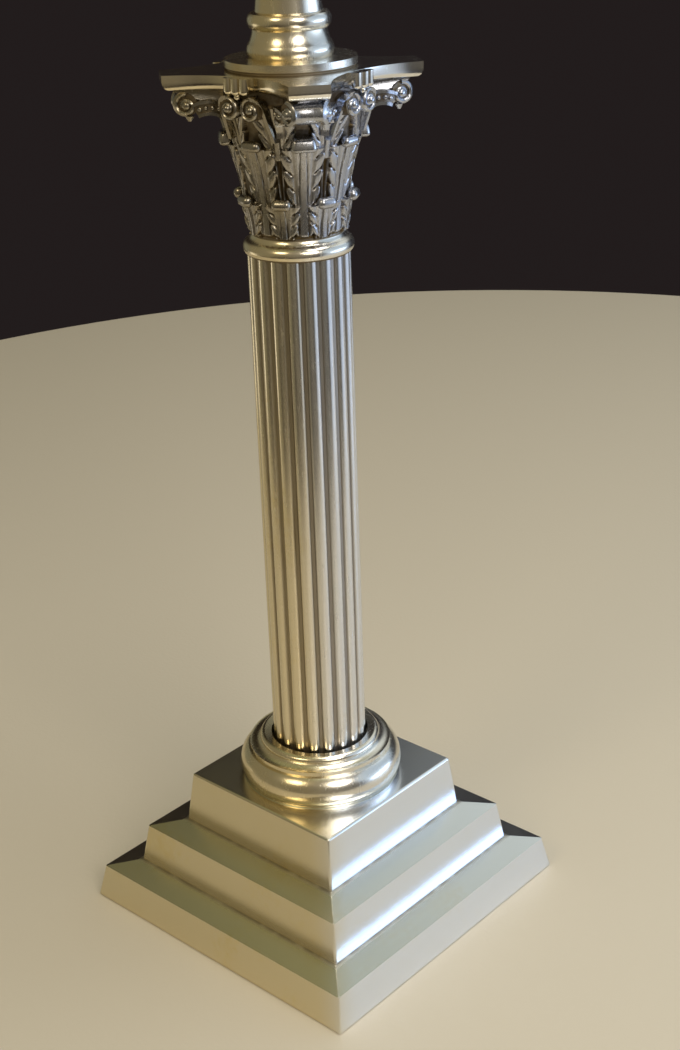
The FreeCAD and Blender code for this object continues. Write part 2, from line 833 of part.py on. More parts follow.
# A scroll drawn as quarter arcs of shrinking radius, with the strip's inner edge on the way back.
# Side is 1 where the scroll winds clockwise from its top and -1 where it winds the other way.
def scroll_corners(reach, height, radius, side):
    shrink, strip = value("scroll_shrink"), value("scroll_strip")
    quarters = int(value("scroll_quarters"))
    steps = ((0, 1), (1, 0), (0, -1), (-1, 0))
    turn_in, turn_out = ("right", "left") if side > 0 else ("left", "right")
    centre_across, centre_up, reach_now = 0.0, 0.0, 1.0
    outer, inner = [], []
    for quarter in range(quarters + 1):
        across, up = steps[quarter % len(steps)]
        spot = centre_across + across * reach_now, centre_up + up * reach_now
        back = centre_across + across * (reach_now - strip), centre_up + up * (reach_now - strip)
        outer.append((*spot, reach_now))
        inner.append((*back, reach_now - strip))
        next_across, next_up = steps[(quarter + 1) % len(steps)]
        reach_now -= shrink
        centre_across += shrink * next_across
        centre_up += shrink * next_up

    def spot_at(across, up):
        return f"{reach} + {radius} * {side * across:.4f}", f"{height} + {radius} * {up:.4f}"

    corners = []
    for index, (across, up, bend) in enumerate(outer):
        arc = (turn_in, f"{radius} * {bend:.4f}") if index < quarters else ()
        corners.append((*spot_at(across, up), *arc))
    for index in range(quarters, -1, -1):
        across, up = inner[index][:2]
        arc = (turn_out, f"{radius} * {inner[index - 1][2]:.4f}") if index else ()
        corners.append((*spot_at(across, up), *arc))
    return corners


# Cuts the volute's two sides to the wedge that it has in plan, sunk by a depth.
def splayed_sides(body, sunk):
    plan = sketch_on(body, "XY_Plane", "splay")
    edge = "(volute_reach + volute_radius)"
    far, wide = f"({edge} + leaf_eye)", "(volute_back_half + leaf_eye)"
    front, back = f"(volute_front_half - {sunk})", f"(volute_back_half - {sunk})"
    root = f"(volute_root_half - {sunk})"
    side = [(far, front), (edge, front), ("volute_back", back), ("volute_root", root),
            ("volute_root", wide), (far, wide)]
    outline(plan, side)
    outline(plan, [(across, f"-{up}") for across, up in side])
    return pocket(body, plan, "capital_height", along=True)


def corner_volutes():
    body = new_body("corner_volutes", "0", "45")
    width = "2 * volute_back_half"
    outer = "(tail_arch + tail_band)"
    web = sketch_on(body, "XZ_Plane", "web")
    circle(web, "volute_radius * (1 - scroll_strip / 2)", "volute_reach", "volute_height")
    core = pad(body, web, width, both_ways=True)
    neck = sketch_on(body, "XZ_Plane", "neck")
    rectangle(neck, "volute_root", "volute_reach", "tail_height + tail_arch", "capital_height")
    stem = pad(body, neck, width, both_ways=True)
    sunk_sides = splayed_sides(body, "volute_sunk")
    strip = sketch_on(body, "XZ_Plane", "scroll")
    outline(strip, scroll_corners("volute_reach", "volute_height", "volute_radius", 1))
    roll = pad(body, strip, width, both_ways=True)
    arch = sketch_on(body, "XZ_Plane", "tail")
    outline(arch, [
        ("tail_reach - tail_arch", "tail_height", "right", "tail_arch"),
        ("tail_reach + tail_arch * sin(tail_turn)", "tail_height + tail_arch * cos(tail_turn)"),
        (f"tail_reach + {outer} * sin(tail_turn)", f"tail_height + {outer} * cos(tail_turn)", "left", outer),
        (f"tail_reach - {outer}", "tail_height"),
    ])
    tail = pad(body, arch, width, both_ways=True)
    sides = splayed_sides(body, "0")
    around(body, [core, stem, sunk_sides, roll, tail, sides], "4")
    return body


# Stems that rise from the stalks and bend inwards, leaning out with the bell.
def scroll_stems(body):
    top = "(scroll_height + scroll_radius)"
    solids = []
    for side in (1, -1):
        turn_in, turn_out = ("right", "left") if side > 0 else ("left", "right")
        start = f"(scroll_offset * {side})"
        outside = f"((scroll_offset + stem_round) * {side})"
        inside = f"((scroll_offset + stem_round - stem_thick) * {side})"
        stem = sketch_on(body, "YZ_Plane", "stem", "stalk_foot")
        outline(stem, [
            (start, top, turn_in, "stem_round"), (outside, f"{top} - stem_round"),
            (outside, "stalk_top_height"), (inside, "stalk_top_height"),
            (inside, f"{top} - stem_round", turn_out, "stem_round - stem_thick"),
            (start, f"{top} - stem_thick"),
        ])
        solids.append(pad(body, stem, "stem_reach - stalk_foot"))
    lean = sketch_on(body, "XZ_Plane", "lean")
    outline(lean, [
        ("stem_foot_reach", "stalk_top_height"), ("stem_reach + leaf_eye", "stalk_top_height"),
        ("stem_reach + leaf_eye", "scroll_height"), ("stem_reach", "scroll_height"),
    ])
    return solids + [pocket(body, lean, "4 * (scroll_offset + stem_round)", both_ways=True)]


def inner_scrolls():
    body = new_body("inner_scrolls")
    back = "(bell_lip - leaf_eye)"
    solids = scroll_stems(body)
    for side in (1, -1):
        across = f"(scroll_offset * {side})"
        strip = sketch_on(body, "YZ_Plane", "scroll", back)
        outline(strip, scroll_corners(across, "scroll_height", "scroll_radius", -side))
        solids.append(pad(body, strip, f"scroll_reach - {back}"))
        disc = sketch_on(body, "YZ_Plane", "disc", back)
        circle(disc, "scroll_radius * (1 - scroll_strip / 2)", across, "scroll_height")
        solids.append(pad(body, disc, f"scroll_reach - scroll_proud - {back}"))
    around(body, solids, "4")
    return body


def capital():
    casting = doc.addObject("Part::MultiFuse", "capital")
    casting.Label = "capital"
    casting.Shapes = [capital_bell(), lower_leaves(), upper_leaves(),
                      leaf_ribs("lower", "180 / leaf_count", "leaf_seam", ("left", "lower_swell")),
                      leaf_ribs("upper", "0", "lower_roll", ("right", "upper_flare")),
                      corner_tips(), leaf_stalks(), corner_volutes(), inner_scrolls()]
    set_seat(casting, capital_seat, "capital_turn")
    return casting


def abacus():
    body = new_body("abacus", abacus_seat, "capital_turn")
    far, near = "((horn_reach + horn_half) / sqrt(2))", "((horn_reach - horn_half) / sqrt(2))"
    sag = f"({far} - abacus_waist)"
    hollow = ("right", f"({near} ^ 2 + {sag} ^ 2) / (2 * {sag})")
    plan = sketch_on(body, "XY_Plane", "plan")
    outline(plan, [
        (far, f"-{near}", *hollow), (far, near),
        (near, far, *hollow), (f"-{near}", far),
        (f"-{far}", near, *hollow), (f"-{far}", f"-{near}"),
        (f"-{near}", f"-{far}", *hollow), (near, f"-{far}"),
    ])
    slab = pad(body, plan, "abacus_height")
    rounded_edges(body, slab, "0", "abacus_ovolo")
    bore = sketch_on(body, "XY_Plane", "rod_hole")
    circle(bore, rod_hole)
    pocket(body, bore, "abacus_height", along=True)
    root = "(bell_lip + spigot_gap)"
    lobe = ("left", "fleuron_round")
    block = sketch_on(body, "XY_Plane", "fleuron", "-fleuron_drop")
    outline(block, [
        (root, "-fleuron_half"), ("fleuron_reach", "-fleuron_half", *lobe),
        ("fleuron_reach", "-fleuron_half / 3", *lobe), ("fleuron_reach", "fleuron_half / 3", *lobe),
        ("fleuron_reach", "fleuron_half"), (root, "fleuron_half"),
    ])
    lobes = pad(body, block, "abacus_height + fleuron_drop")
    bead = body.newObject("PartDesign::AdditiveSphere", "bead")
    bead.AttachmentSupport = [(origin_feature(body, "XY_Plane"), "")]
    bead.MapMode = "FlatFace"
    bead.setExpression("Radius", tied("bead_round"))
    bead.setExpression("AttachmentOffset.Base.x", tied("fleuron_reach - bead_round / 2"))
    bead.setExpression("AttachmentOffset.Base.z", tied("-fleuron_drop - bead_round / 2"))
    around(body, [lobes, bead], "4")
    return body


def font_socket():
    rim = f"({cup_floor} + cup_depth)"
    return turned_piece("font_socket", socket_seat, [
        (rod_hole, "0"), ("(flange_radius - flange_recess)", "0"),
        ("(flange_radius - flange_recess)", "flange_lift"), ("flange_radius", "flange_lift"),
        ("flange_radius", "flange_height"),
        ("stem_foot", "flange_height", "left", "stem_bulge_round"),
        ("stem_shoulder", bulge_top, "right", "stem_sweep_round"),
        ("stem_waist", waist_top),
        ("stem_bead_foot", bead_foot, "left", "stem_bead_round"),
        ("stem_bead_foot", bead_top), ("neck_foot", neck_foot_height),
        ("neck_radius", neck_top, "right", "cup_flare_round"),
        ("cup_radius", cup_foot), ("cup_radius", f"({rim} - cup_rim_round)", "left", "cup_rim_round"),
        ("(cup_radius - cup_rim_round)", rim), ("cup_bore", rim), ("cup_bore", cup_floor),
        ("nut_recess", cup_floor), ("nut_recess", recess_floor), (rod_hole, recess_floor),
    ])


# The reservoir is spun in two halves that meet at its widest.
def font_bowl():
    boss = "(cup_bore - seat_gap)"
    return turned_piece("font_bowl", font_seat, [
        ("0", "0"), (boss, "0"), (boss, "font_boss_height", "left", "font_lower_round"),
        ("font_radius", font_belly),
        ("(font_radius - font_wall)", font_belly, "right", "(font_lower_round - font_wall)"),
        (f"({boss} - font_wall)", "(font_boss_height + font_wall)"),
        (f"({boss} - font_wall)", "font_wall"), ("0", "font_wall"),
    ])


def font_cover():
    return turned_piece("font_cover", font_seat, [
        ("font_radius", font_belly, "left", "font_upper_round"),
        ("font_neck", font_shoulder), ("font_neck", font_top), ("font_mouth", font_top),
        ("font_mouth", f"({font_top} - font_wall)"),
        ("(font_neck - font_wall)", f"({font_shoulder} - font_wall)",
         "right", "(font_upper_round - font_wall)"),
        ("(font_radius - font_wall)", font_belly),
    ])


def font_collar():
    lip_foot = "(collar_height - collar_lip_height)"
    body = turned_piece("font_collar", collar_seat, [
        ("font_mouth", "0"), ("collar_flange", "0"), ("collar_flange", "collar_floor"),
        ("collar_radius", "collar_floor"), ("collar_radius", "collar_height"),
        ("collar_lip", "collar_height"), ("collar_lip", lip_foot), ("collar_groove", lip_foot),
        ("collar_groove", "collar_floor"), ("font_mouth", "collar_floor"),
    ], "bayonet_turn")
    notch = sketch_on(body, "XY_Plane", "notch", "collar_height")
    reach = "sqrt(collar_groove ^ 2 - notch_half ^ 2)"
    rectangle(notch, "(collar_lip - collar_lip_height)", reach, "-notch_half", "notch_half")
    around(body, [pocket(body, notch, "collar_lip_height")], "2")
    return body


def burner_drum():
    inner = "(drum_radius - drum_wall)"
    insert = "(collar_lip - seat_gap)"
    body = turned_piece("burner_drum", burner_seat, [
        ("0", "0"), (f"({insert} - drum_floor)", "0"), (f"({insert} - drum_floor)", "-insert_depth"),
        (insert, "-insert_depth"), (insert, "0"), ("drum_flange", "0"),
        ("drum_flange", "drum_flange_height"), ("drum_radius", "drum_flange_height"),
        ("drum_radius", "drum_height"), (inner, "drum_height"), (inner, "drum_floor"),
        ("0", "drum_floor"),
    ])
    lug = sketch_on(body, "XY_Plane", "lug", "-lug_drop")
    rectangle(lug, f"{insert} - drum_floor / 2", "lug_reach_out", "-lug_half", "lug_half")
    around(body, [pad(body, lug, "lug_height")], "2")
    for side in (1, -1):
        middle = f"wick_offset * {side}"
        slot = sketch_on(body, "XY_Plane", "tube_slot")
        width, depth = f"({tube_half} + screw_clearance)", f"({tube_depth} + screw_clearance)"
        rectangle(slot, f"-{width}", width, f"{middle} - {depth}", f"{middle} + {depth}")
        pocket(body, slot, "drum_floor", along=True)
        bearing = sketch_on(body, "YZ_Plane", "bearing")
        circle(bearing, "spindle_radius + spindle_fit", f"{spindle_offset} * {side}", "spindle_height")
        pocket(body, bearing, "2 * drum_flange", both_ways=True)
    return body


def burner_basket():
    inner = "(drum_radius - drum_wall)"
    shelf_foot = "(basket_height - basket_wall)"
    body = turned_piece("burner_basket", basket_seat, [
        (inner, "0"), ("basket_foot", "0"), ("basket_foot", "basket_wall", "right", "basket_round"),
        ("basket_radius", shelf_foot), ("basket_radius", "basket_height"),
        ("basket_shelf", "basket_height"), ("basket_shelf", shelf_foot),
        ("(basket_radius - 2 * basket_wall)", shelf_foot, "left", "(basket_round + basket_wall / 2)"),
        ("(basket_foot - basket_wall)", "(2 * basket_wall)"), (inner, "(2 * basket_wall)"),
    ])
    slot = sketch_on(body, "YZ_Plane", "air_slot", f"{inner} + basket_wall / 2")
    outline(slot, [
        ("-air_slot_half", "air_slot_foot", "left", "air_slot_half * slot_ease"),
        ("air_slot_half", "air_slot_foot"),
        ("air_slot_half", "air_slot_top", "left", "air_slot_half * slot_ease"),
        ("-air_slot_half", "air_slot_top"),
    ])
    around(body, [pocket(body, slot, "basket_radius", along=True)], "air_slot_count")
    return body


def wick_tube(name, side):
    body = new_body(name, burner_seat)
    middle = f"(wick_offset * {side})"
    plan = sketch_on(body, "XY_Plane", "plan", "-tube_drop")
    for wall in ("0", "tube_wall"):
        half, depth = f"({tube_half} - {wall})", f"({tube_depth} - {wall})"
        rectangle(plan, f"-{half}", half, f"{middle} - {depth}", f"{middle} + {depth}")
    pad(body, plan, "tube_top + tube_drop")
    reach = "(wheel_radius + wheel_gap)"
    width = "(wheel_width / 2 + wheel_gap)"
    window = sketch_on(body, "XZ_Plane", "wheel_windows", f"-{middle}")
    for wheel in wheel_places:
        rectangle(window, f"{wheel} - {width}", f"{wheel} + {width}",
                  f"spindle_height - {reach}", f"spindle_height + {reach}")
    pocket(body, window, f"{tube_depth} + tube_wall", along=side < 0)
    return body


def wick(name, side):
    body = new_body(name, burner_seat)
    middle = f"(wick_offset * {side})"
    plan = sketch_on(body, "XY_Plane", "plan", "-wick_tail")
    rectangle(plan, "-wick_half", "wick_half",
              f"{middle} - wick_thickness / 2", f"{middle} + wick_thickness / 2")
    pad(body, plan, "wick_tail + tube_top + wick_stand")
    return body


# Corners of a toothed or lobed rim round a centre, going round in equal steps.
def rim_corners(across, up, radii, steps, arc=()):
    corners = []
    for step in range(steps):
        angle = 2 * math.pi * (step + 0.5) / steps
        radius = radii[step % len(radii)]
        corners.append((f"{across} + {radius} * {math.cos(angle):.6f}",
                        f"{up} + {radius} * {math.sin(angle):.6f}", *arc))
    return corners


def spindle(name, side):
    body = new_body(name, burner_seat)
    across = f"({spindle_offset} * {side})"
    section = sketch_on(body, "YZ_Plane", "rod", "-spindle_tail")
    circle(section, "spindle_radius", across, "spindle_height")
    pad(body, section, "spindle_tail + spindle_reach")
    for wheel in wheel_places:
        teeth = sketch_on(body, "YZ_Plane", "wheel", f"{wheel} - wheel_width / 2")
        steps = 2 * int(sizes["wheel_teeth"])
        outline(teeth, rim_corners(across, "spindle_height", ("wheel_radius", "wheel_root"), steps))
        pad(body, teeth, "wheel_width")
    return body


def knob(name, side):
    body = new_body(name, burner_seat)
    across = f"({spindle_offset} * {side})"
    rim = sketch_on(body, "YZ_Plane", "rim", "spindle_reach - knob_width")
    lobes = rim_corners(across, "spindle_height", ("knob_radius",), int(sizes["knob_lobes"]),
                        ("left", "knob_lobe_round"))
    outline(rim, lobes)
    pad(body, rim, "knob_width")
    hub = sketch_on(body, "YZ_Plane", "hub", "spindle_reach - knob_width - knob_hub_length")
    circle(hub, "knob_hub", across, "spindle_height")
    pad(body, hub, "knob_hub_length")
    bore = sketch_on(body, "YZ_Plane", "bore", "spindle_reach")
    circle(bore, "spindle_radius + thread_clearance", across, "spindle_height")
    pocket(body, bore, "knob_width + knob_hub_length")
    return body


def flame_dome():
    rise = "(dome_height - dome_wall)"
    inner = "(dome_base - dome_wall)"
    body = turned_piece("flame_dome", gallery_seat, [
        (inner, "0"), ("dome_flange", "0"), ("dome_flange", "dome_wall"),
        ("dome_base", "dome_wall", "left", f"(dome_base ^ 2 + {rise} ^ 2) / (2 * {rise})"),
        ("0", "dome_height"),
        ("0", rise, "right", f"({inner} ^ 2 + {rise} ^ 2) / (2 * {rise})"),
    ])
    for side in (1, -1):
        middle = f"(wick_offset * {side})"
        slot = sketch_on(body, "XY_Plane", "flame_slot")
        rectangle(slot, f"-{tube_half}", tube_half,
                  f"{middle} - dome_slot_half", f"{middle} + dome_slot_half")
        pocket(body, slot, "dome_height", along=True)
    return body


def chimney_gallery():
    inner = "(chimney_foot + chimney_gap)"
    outer = f"({inner} + finger_wall)"
    tip = "(finger_height + finger_lip)"
    body = turned_piece("chimney_gallery", gallery_seat, [
        ("gallery_bore", "0"), ("basket_radius", "0"), ("basket_radius", "gallery_floor"),
        (outer, "gallery_floor"), (outer, "finger_height"),
        (f"({outer} + finger_lip)", tip), (f"({inner} + finger_lip)", f"({tip} + finger_wall / 2)"),
        (inner, "finger_height"), (inner, "gallery_floor"), ("gallery_bore", "gallery_floor"),
    ])
    gap = sketch_on(body, "YZ_Plane", "finger_gap", f"{inner} - finger_lip")
    outline(gap, [
        ("-finger_gap_half", "gallery_floor + finger_gap_half + finger_lip",
         "left", "finger_gap_half * slot_ease"),
        ("finger_gap_half", "gallery_floor + finger_gap_half + finger_lip"),
        ("finger_gap_half", f"{tip} + finger_lip"), ("-finger_gap_half", f"{tip} + finger_lip"),
    ])
    around(body, [pocket(body, gap, "3 * finger_lip + finger_wall", along=True)], "finger_count")
    return body


def chimney():
    wall = "chimney_wall"
    return turned_piece("chimney", chimney_seat, [
        (f"(chimney_foot - {wall})", "0"), ("chimney_foot", "0"),
        ("chimney_foot", "chimney_foot_height", "left", "chimney_bulge_round"),
        ("chimney_throat", "chimney_throat_height", "right", "chimney_neck_round"),
        ("chimney_neck", "chimney_neck_height"), ("chimney_top", "chimney_height"),
        (f"(chimney_top - {wall})", "chimney_height"),
        (f"(chimney_neck - {wall})", "chimney_neck_height", "left", f"(chimney_neck_round + {wall})"),
        (f"(chimney_throat - {wall})", "chimney_throat_height", "right", f"(chimney_bulge_round - {wall})"),
        (f"(chimney_foot - {wall})", "chimney_foot_height"),
    ])


wheel_places = ("wheel_spread", "(-wheel_spread)")

pieces = [
    stepped_base(), base_board(), base_felt(), base_screws(),
    tie_rod(), hex_nut("rod_nut", nut_seat), rod_washer(), base_weight(),
    column_foot(), column_shaft(), necking_ring(), capital(), abacus(),
    font_socket(), hex_nut("socket_nut", f"({socket_seat} + {recess_floor})"),
    font_bowl(), font_cover(), font_collar(), burner_drum(), burner_basket(),
    wick_tube("wick_tube_back", 1), wick_tube("wick_tube_front", -1),
    wick("wick_back", 1), wick("wick_front", -1),
    spindle("spindle_back", 1), spindle("spindle_front", -1),
    knob("knob_back", 1), knob("knob_front", -1),
    flame_dome(), chimney_gallery(), chimney(),
]
doc.recompute()

for item in doc.Objects:
    if "Invalid" in item.State or "Error" in item.State:
        raise RuntimeError(f"{item.Label} could not be built")
for piece in pieces:
    if piece.Shape.isNull() or not piece.Shape.isValid():
        raise RuntimeError(f"{piece.Label} has no sound shape")

for piece in pieces:
    piece.Shape.exportStep(os.path.join("parts", f"{piece.Label}.step"))
    box = piece.Shape.BoundBox
    print(f"{piece.Label}: {len(piece.Shape.Solids)} solid, {piece.Shape.Volume:.0f} mm3, "
          f"z {box.ZMin:.2f} to {box.ZMax:.2f}")
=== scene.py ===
import json
import math
import bmesh
import bpy
from mathutils import Matrix, Vector


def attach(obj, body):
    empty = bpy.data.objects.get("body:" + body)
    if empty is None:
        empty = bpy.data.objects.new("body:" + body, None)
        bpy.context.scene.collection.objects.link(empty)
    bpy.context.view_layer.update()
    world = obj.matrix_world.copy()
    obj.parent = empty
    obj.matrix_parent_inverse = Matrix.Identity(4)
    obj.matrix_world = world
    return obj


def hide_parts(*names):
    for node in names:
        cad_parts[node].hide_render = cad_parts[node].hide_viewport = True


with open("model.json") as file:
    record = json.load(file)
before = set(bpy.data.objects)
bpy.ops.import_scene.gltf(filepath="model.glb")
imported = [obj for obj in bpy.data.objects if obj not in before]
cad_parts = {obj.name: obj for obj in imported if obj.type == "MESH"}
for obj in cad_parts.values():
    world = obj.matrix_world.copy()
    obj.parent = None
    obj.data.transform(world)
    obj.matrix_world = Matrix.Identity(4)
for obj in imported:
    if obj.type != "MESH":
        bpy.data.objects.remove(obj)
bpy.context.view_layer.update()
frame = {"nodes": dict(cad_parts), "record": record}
nodes = frame["nodes"]
scene = bpy.context.scene
scene.view_settings.view_transform = "Standard"
mm = 0.001
up = Vector((0, 0, 1))
weldGap = 0.004  # in millimetres, as every shape is until it is placed
levelGap = 0.01
corners = 4


class Wire:  # an output socket, so that shader sums read as plain sums
    def __init__(self, tree, socket=None):
        self.tree = tree
        self.socket = socket

    def node(self, kind, settings=None, inputs=None, output=0):
        made = self.tree.nodes.new(kind)
        for key, setting in (settings or {}).items():
            if key == "stops":
                for place, colour in setting[2:]:
                    made.color_ramp.elements.new(place)
                for element, (place, colour) in zip(made.color_ramp.elements, setting):
                    element.position = place
                    element.color = colour
            else:
                setattr(made, key, setting)
        for key, given in (inputs or {}).items():
            if isinstance(given, Wire):
                self.tree.links.new(given.socket, made.inputs[key])
            else:
                made.inputs[key].default_value = given
        return Wire(self.tree, made.outputs[output])

    def calc(self, operation, first, second=0.0):
        return self.node("ShaderNodeMath", {"operation": operation}, {0: first, 1: second})

    def __add__(self, other):
        return self.calc("ADD", self, other)

    def __sub__(self, other):
        return self.calc("SUBTRACT", self, other)

    def __mul__(self, other):
        return self.calc("MULTIPLY", self, other)

    def __abs__(self):
        return self.calc("ABSOLUTE", self)

    def ramp(self, low, high, first=0.0, last=1.0):  # eased step between two values
        return self.node("ShaderNodeMapRange", {"interpolation_type": "SMOOTHSTEP"},
                         {0: self, 1: low, 2: high, 3: first, 4: last})

    def mix(self, first, second):  # this wire is the share of the second colour
        return self.node("ShaderNodeMix", {"data_type": "RGBA"}, {0: self, 6: first, 7: second}, 2)

    def noise(self, place, scale, detail=2.0, rough=0.5):
        return self.node("ShaderNodeTexNoise", None,
                         {"Vector": place, "Scale": scale, "Detail": detail, "Roughness": rough})

    def stretched(self, place, scale, turn=(0, 0, 0)):
        return self.node("ShaderNodeMapping", None, {"Vector": place, "Scale": scale, "Rotation": turn})

    def bump(self, height, distance, strength):
        return self.node("ShaderNodeBump", None, {"Height": height, "Distance": distance, "Strength": strength})


def newMaterial(name):
    material = bpy.data.materials.new(name)
    material.use_nodes = True
    wire = Wire(material.node_tree)
    return material, wire, wire.node("ShaderNodeTexCoord", output="Object")


bareMetal = {"Metallic": 1.0}


def finished(material, wire, look, colour, roughness, relief, more=None):
    shader = wire.tree.nodes["Principled BSDF"]
    links = {"Base Color": colour, "Roughness": roughness, "Normal": wire.bump(relief, *look["bump"])}
    for key, given in {**links, **(more or {})}.items():
        if isinstance(given, Wire):
            wire.tree.links.new(given.socket, shader.inputs[key])
        else:
            shader.inputs[key].default_value = given
    return material


def rgb(red, green, blue):
    return (red, green, blue, 1.0)


def axisOf(wire, place, axis):
    spots = wire.node("ShaderNodeSeparateXYZ", None, {0: place})
    return Wire(wire.tree, spots.socket.node.outputs[axis])


def fromAxis(wire, place):  # distance from the lamp's upright axis
    flat = wire.node("ShaderNodeVectorMath", {"operation": "MULTIPLY"}, {0: place, 1: (1, 1, 0)})
    return wire.node("ShaderNodeVectorMath", {"operation": "LENGTH"}, {0: flat}, "Value")


plateLook = {
    "silver": rgb(0.81, 0.80, 0.77), "wornAndWarm": rgb(0.77, 0.66, 0.41), "tarnishAndShade": rgb(0.17, 0.125, 0.065),
    "rough": 0.17, "wornShare": 0.3, "marks": 1.0, "grooves": (),
    "cloud": 26.0, "mottle": 420.0, "cloudShare": 0.7, "mottleShare": 0.3, "thinEdges": ((0.62, 0.5), (0.80, 0.35)),
    "scratch": 1400.0, "scratchEdges": (0.30, 0.44), "along": ((1.0, 0.06, 0.06), (0.3, 0.2, 0.7)),
    "across": ((0.06, 1.0, 0.06), (0.5, 0.1, 0.2)), "sideReach": 14.0, "sideShare": 0.8,
    "roughCloud": 0.10, "roughMottle": 0.05, "roughScratch": 0.07, "roughDrop": 0.07,
    "cloudRelief": 0.45, "mottleRelief": 0.3, "scratchRelief": -0.25,
    "jointDark": 0.9, "jointCore": 0.5, "jointRough": 0.4, "bump": (0.00006, 0.5),
}


def plateSurface(wire, place, look):
    cloud = wire.noise(place, look["cloud"], detail=4.0)
    mottle = wire.noise(place, look["mottle"], detail=3.0, rough=0.6)
    along = wire.stretched(place, *look["along"])
    across = wire.stretched(place, *look["across"])
    lines = wire.noise(along, look["scratch"]) * wire.noise(across, look["scratch"])
    scratch = lines.ramp(*look["scratchEdges"])
    thinEdges = (edge - look["wornShare"] * drop for edge, drop in look["thinEdges"])
    thin = (cloud * look["cloudShare"] + mottle * look["mottleShare"]).ramp(*thinEdges)
    # painted warm side: the side towards -X -Y of each plated part is tinted towards brass gold for the warm light
    # falling there, on top of real wear
    reach, share = look["sideReach"] * mm, look["sideShare"]
    paintedWarmSide = (axisOf(wire, place, "X") + axisOf(wire, place, "Y")).ramp(-reach, reach, share, 0.0)
    wearAndWarmSide = thin * (1 - share) + paintedWarmSide  # real wear mixed with the painted warm side
    colour = wearAndWarmSide.mix(look["silver"], look["wornAndWarm"])
    marked = mottle * look["roughMottle"] + scratch * look["roughScratch"]
    roughness = cloud * look["roughCloud"] + marked * look["marks"] + (look["rough"] - look["roughDrop"])
    fine = scratch * look["scratchRelief"] + mottle * look["mottleRelief"]
    return colour, roughness, fine * look["marks"] + cloud * look["cloudRelief"]


turnedLook = {  # darker lines where turned pieces meet, each with its level and half width; the one at 376.5 is painted shadow in the gap under the flange
    **plateLook, "rough": 0.23, "wornShare": 0.55, "grooves": ((304.9, 0.7), (313.0, 0.7), (376.5, 0.6)),
}


def silverPlate(name, look):
    material, wire, place = newMaterial(name)
    colour, roughness, relief = plateSurface(wire, place, look)
    # each joint level gets a thin darker band; under the flange it is painted shadow
    for level, half in look["grooves"]:
        away = abs(axisOf(wire, place, "Z") - level * mm)
        jointDark = away.ramp(half * look["jointCore"] * mm, half * mm, look["jointDark"], 0.0)
        colour = jointDark.mix(colour, look["tarnishAndShade"])
        roughness = roughness + jointDark * look["jointRough"]
    return finished(material, wire, look, colour, roughness, relief, bareMetal)


# the bluish silver of the base is painted cool window light on its +X +Y side
baseLook = {
    **plateLook, "silver": rgb(0.81, 0.855, 0.92), "wornAndWarm": rgb(0.72, 0.61, 0.345), "rough": 0.25, "wornShare": 0.22,
    "marks": 0.15, "seams": (18.53, 39.23), "seamHalf": 0.45, "seamDark": 0.9, "seamRough": 0.25,
    "seamBlotch": 160.0, "seamBlotchEdges": (0.30, 0.62, 0.45, 0.8), "topEdges": (0.0630, 0.0633),
    "ringEdge": 35.0, "ringHalf": 0.5, "ringDark": 0.8, "ringRough": 0.3, "residue": rgb(0.42, 0.46, 0.36),
    "bump": (0.00003, 0.4),
}


def basePlate(look):
    material, wire, place = newMaterial("base_plate")
    colour, roughness, relief = plateSurface(wire, place, look)
    height = axisOf(wire, place, "Z")
    # darker lines along the inner corners where each tread meets the riser above, broken into patches
    seamBlotch = wire.noise(place, look["seamBlotch"], detail=3.0).ramp(*look["seamBlotchEdges"])
    lower, upper = (abs(height - level * mm).ramp(0.0, look["seamHalf"] * mm, look["seamDark"], 0.0)
                    for level in look["seams"])
    seam = lower + upper
    fromRing = abs(fromAxis(wire, place) - look["ringEdge"] * mm)
    ring = fromRing.ramp(0.0, look["ringHalf"] * mm, look["ringDark"], 0.0) * height.ramp(*look["topEdges"])
    colour = (seam * seamBlotch).mix(colour, look["tarnishAndShade"])
    colour = ring.mix(colour, look["residue"])
    roughness = roughness + seam * look["seamRough"] + ring * look["ringRough"]
    return finished(material, wire, look, colour, roughness, relief, bareMetal)


# the bluish silver of the reeds is painted cool window light on their +X +Y side
reedLook = {
    **plateLook, "silver": rgb(0.80, 0.82, 0.87), "rough": 0.19, "wornShare": 0.22, "groove": 19.45, "crown": 20.2,
    "sunkDark": 0.7, "sunkRough": 0.2, "streak": 360.0, "stretch": (1.0, 1.0, 0.05), "streakEdges": (0.56, 0.80),
    "streakDark": 0.14, "streakRough": 0.06, "streakRelief": 0.5, "bump": (0.00005, 0.4),
}


def reedPlate(look):
    material, wire, place = newMaterial("reed_plate")
    colour, roughness, relief = plateSurface(wire, place, look)
    sunk = fromAxis(wire, place).ramp(look["groove"] * mm, look["crown"] * mm, 1.0, 0.0)
    streak = wire.noise(wire.stretched(place, look["stretch"]), look["streak"], detail=4.0)
    dark = sunk * look["sunkDark"] + streak.ramp(*look["streakEdges"]) * look["streakDark"]
    colour = dark.mix(colour, look["tarnishAndShade"])
    roughness = roughness + sunk * look["sunkRough"] + streak * look["streakRough"]
    return finished(material, wire, look, colour, roughness, relief + streak * look["streakRelief"], bareMetal)


# the dark bluish silver is a shaded, cool copy of the plate: painted shade on the capital
carvedLook = {
    **plateLook, "silver": rgb(0.50, 0.53, 0.62), "wornAndWarm": rgb(0.31, 0.265, 0.17), "rough": 0.26, "wornShare": 0.40,
    "grain": 700.0, "grainShare": 0.35, "grainRelief": 0.8, "shadeEdges": (0.08, 0.72), "shadeRough": 0.28,
    "bump": (0.00010, 0.6),
}


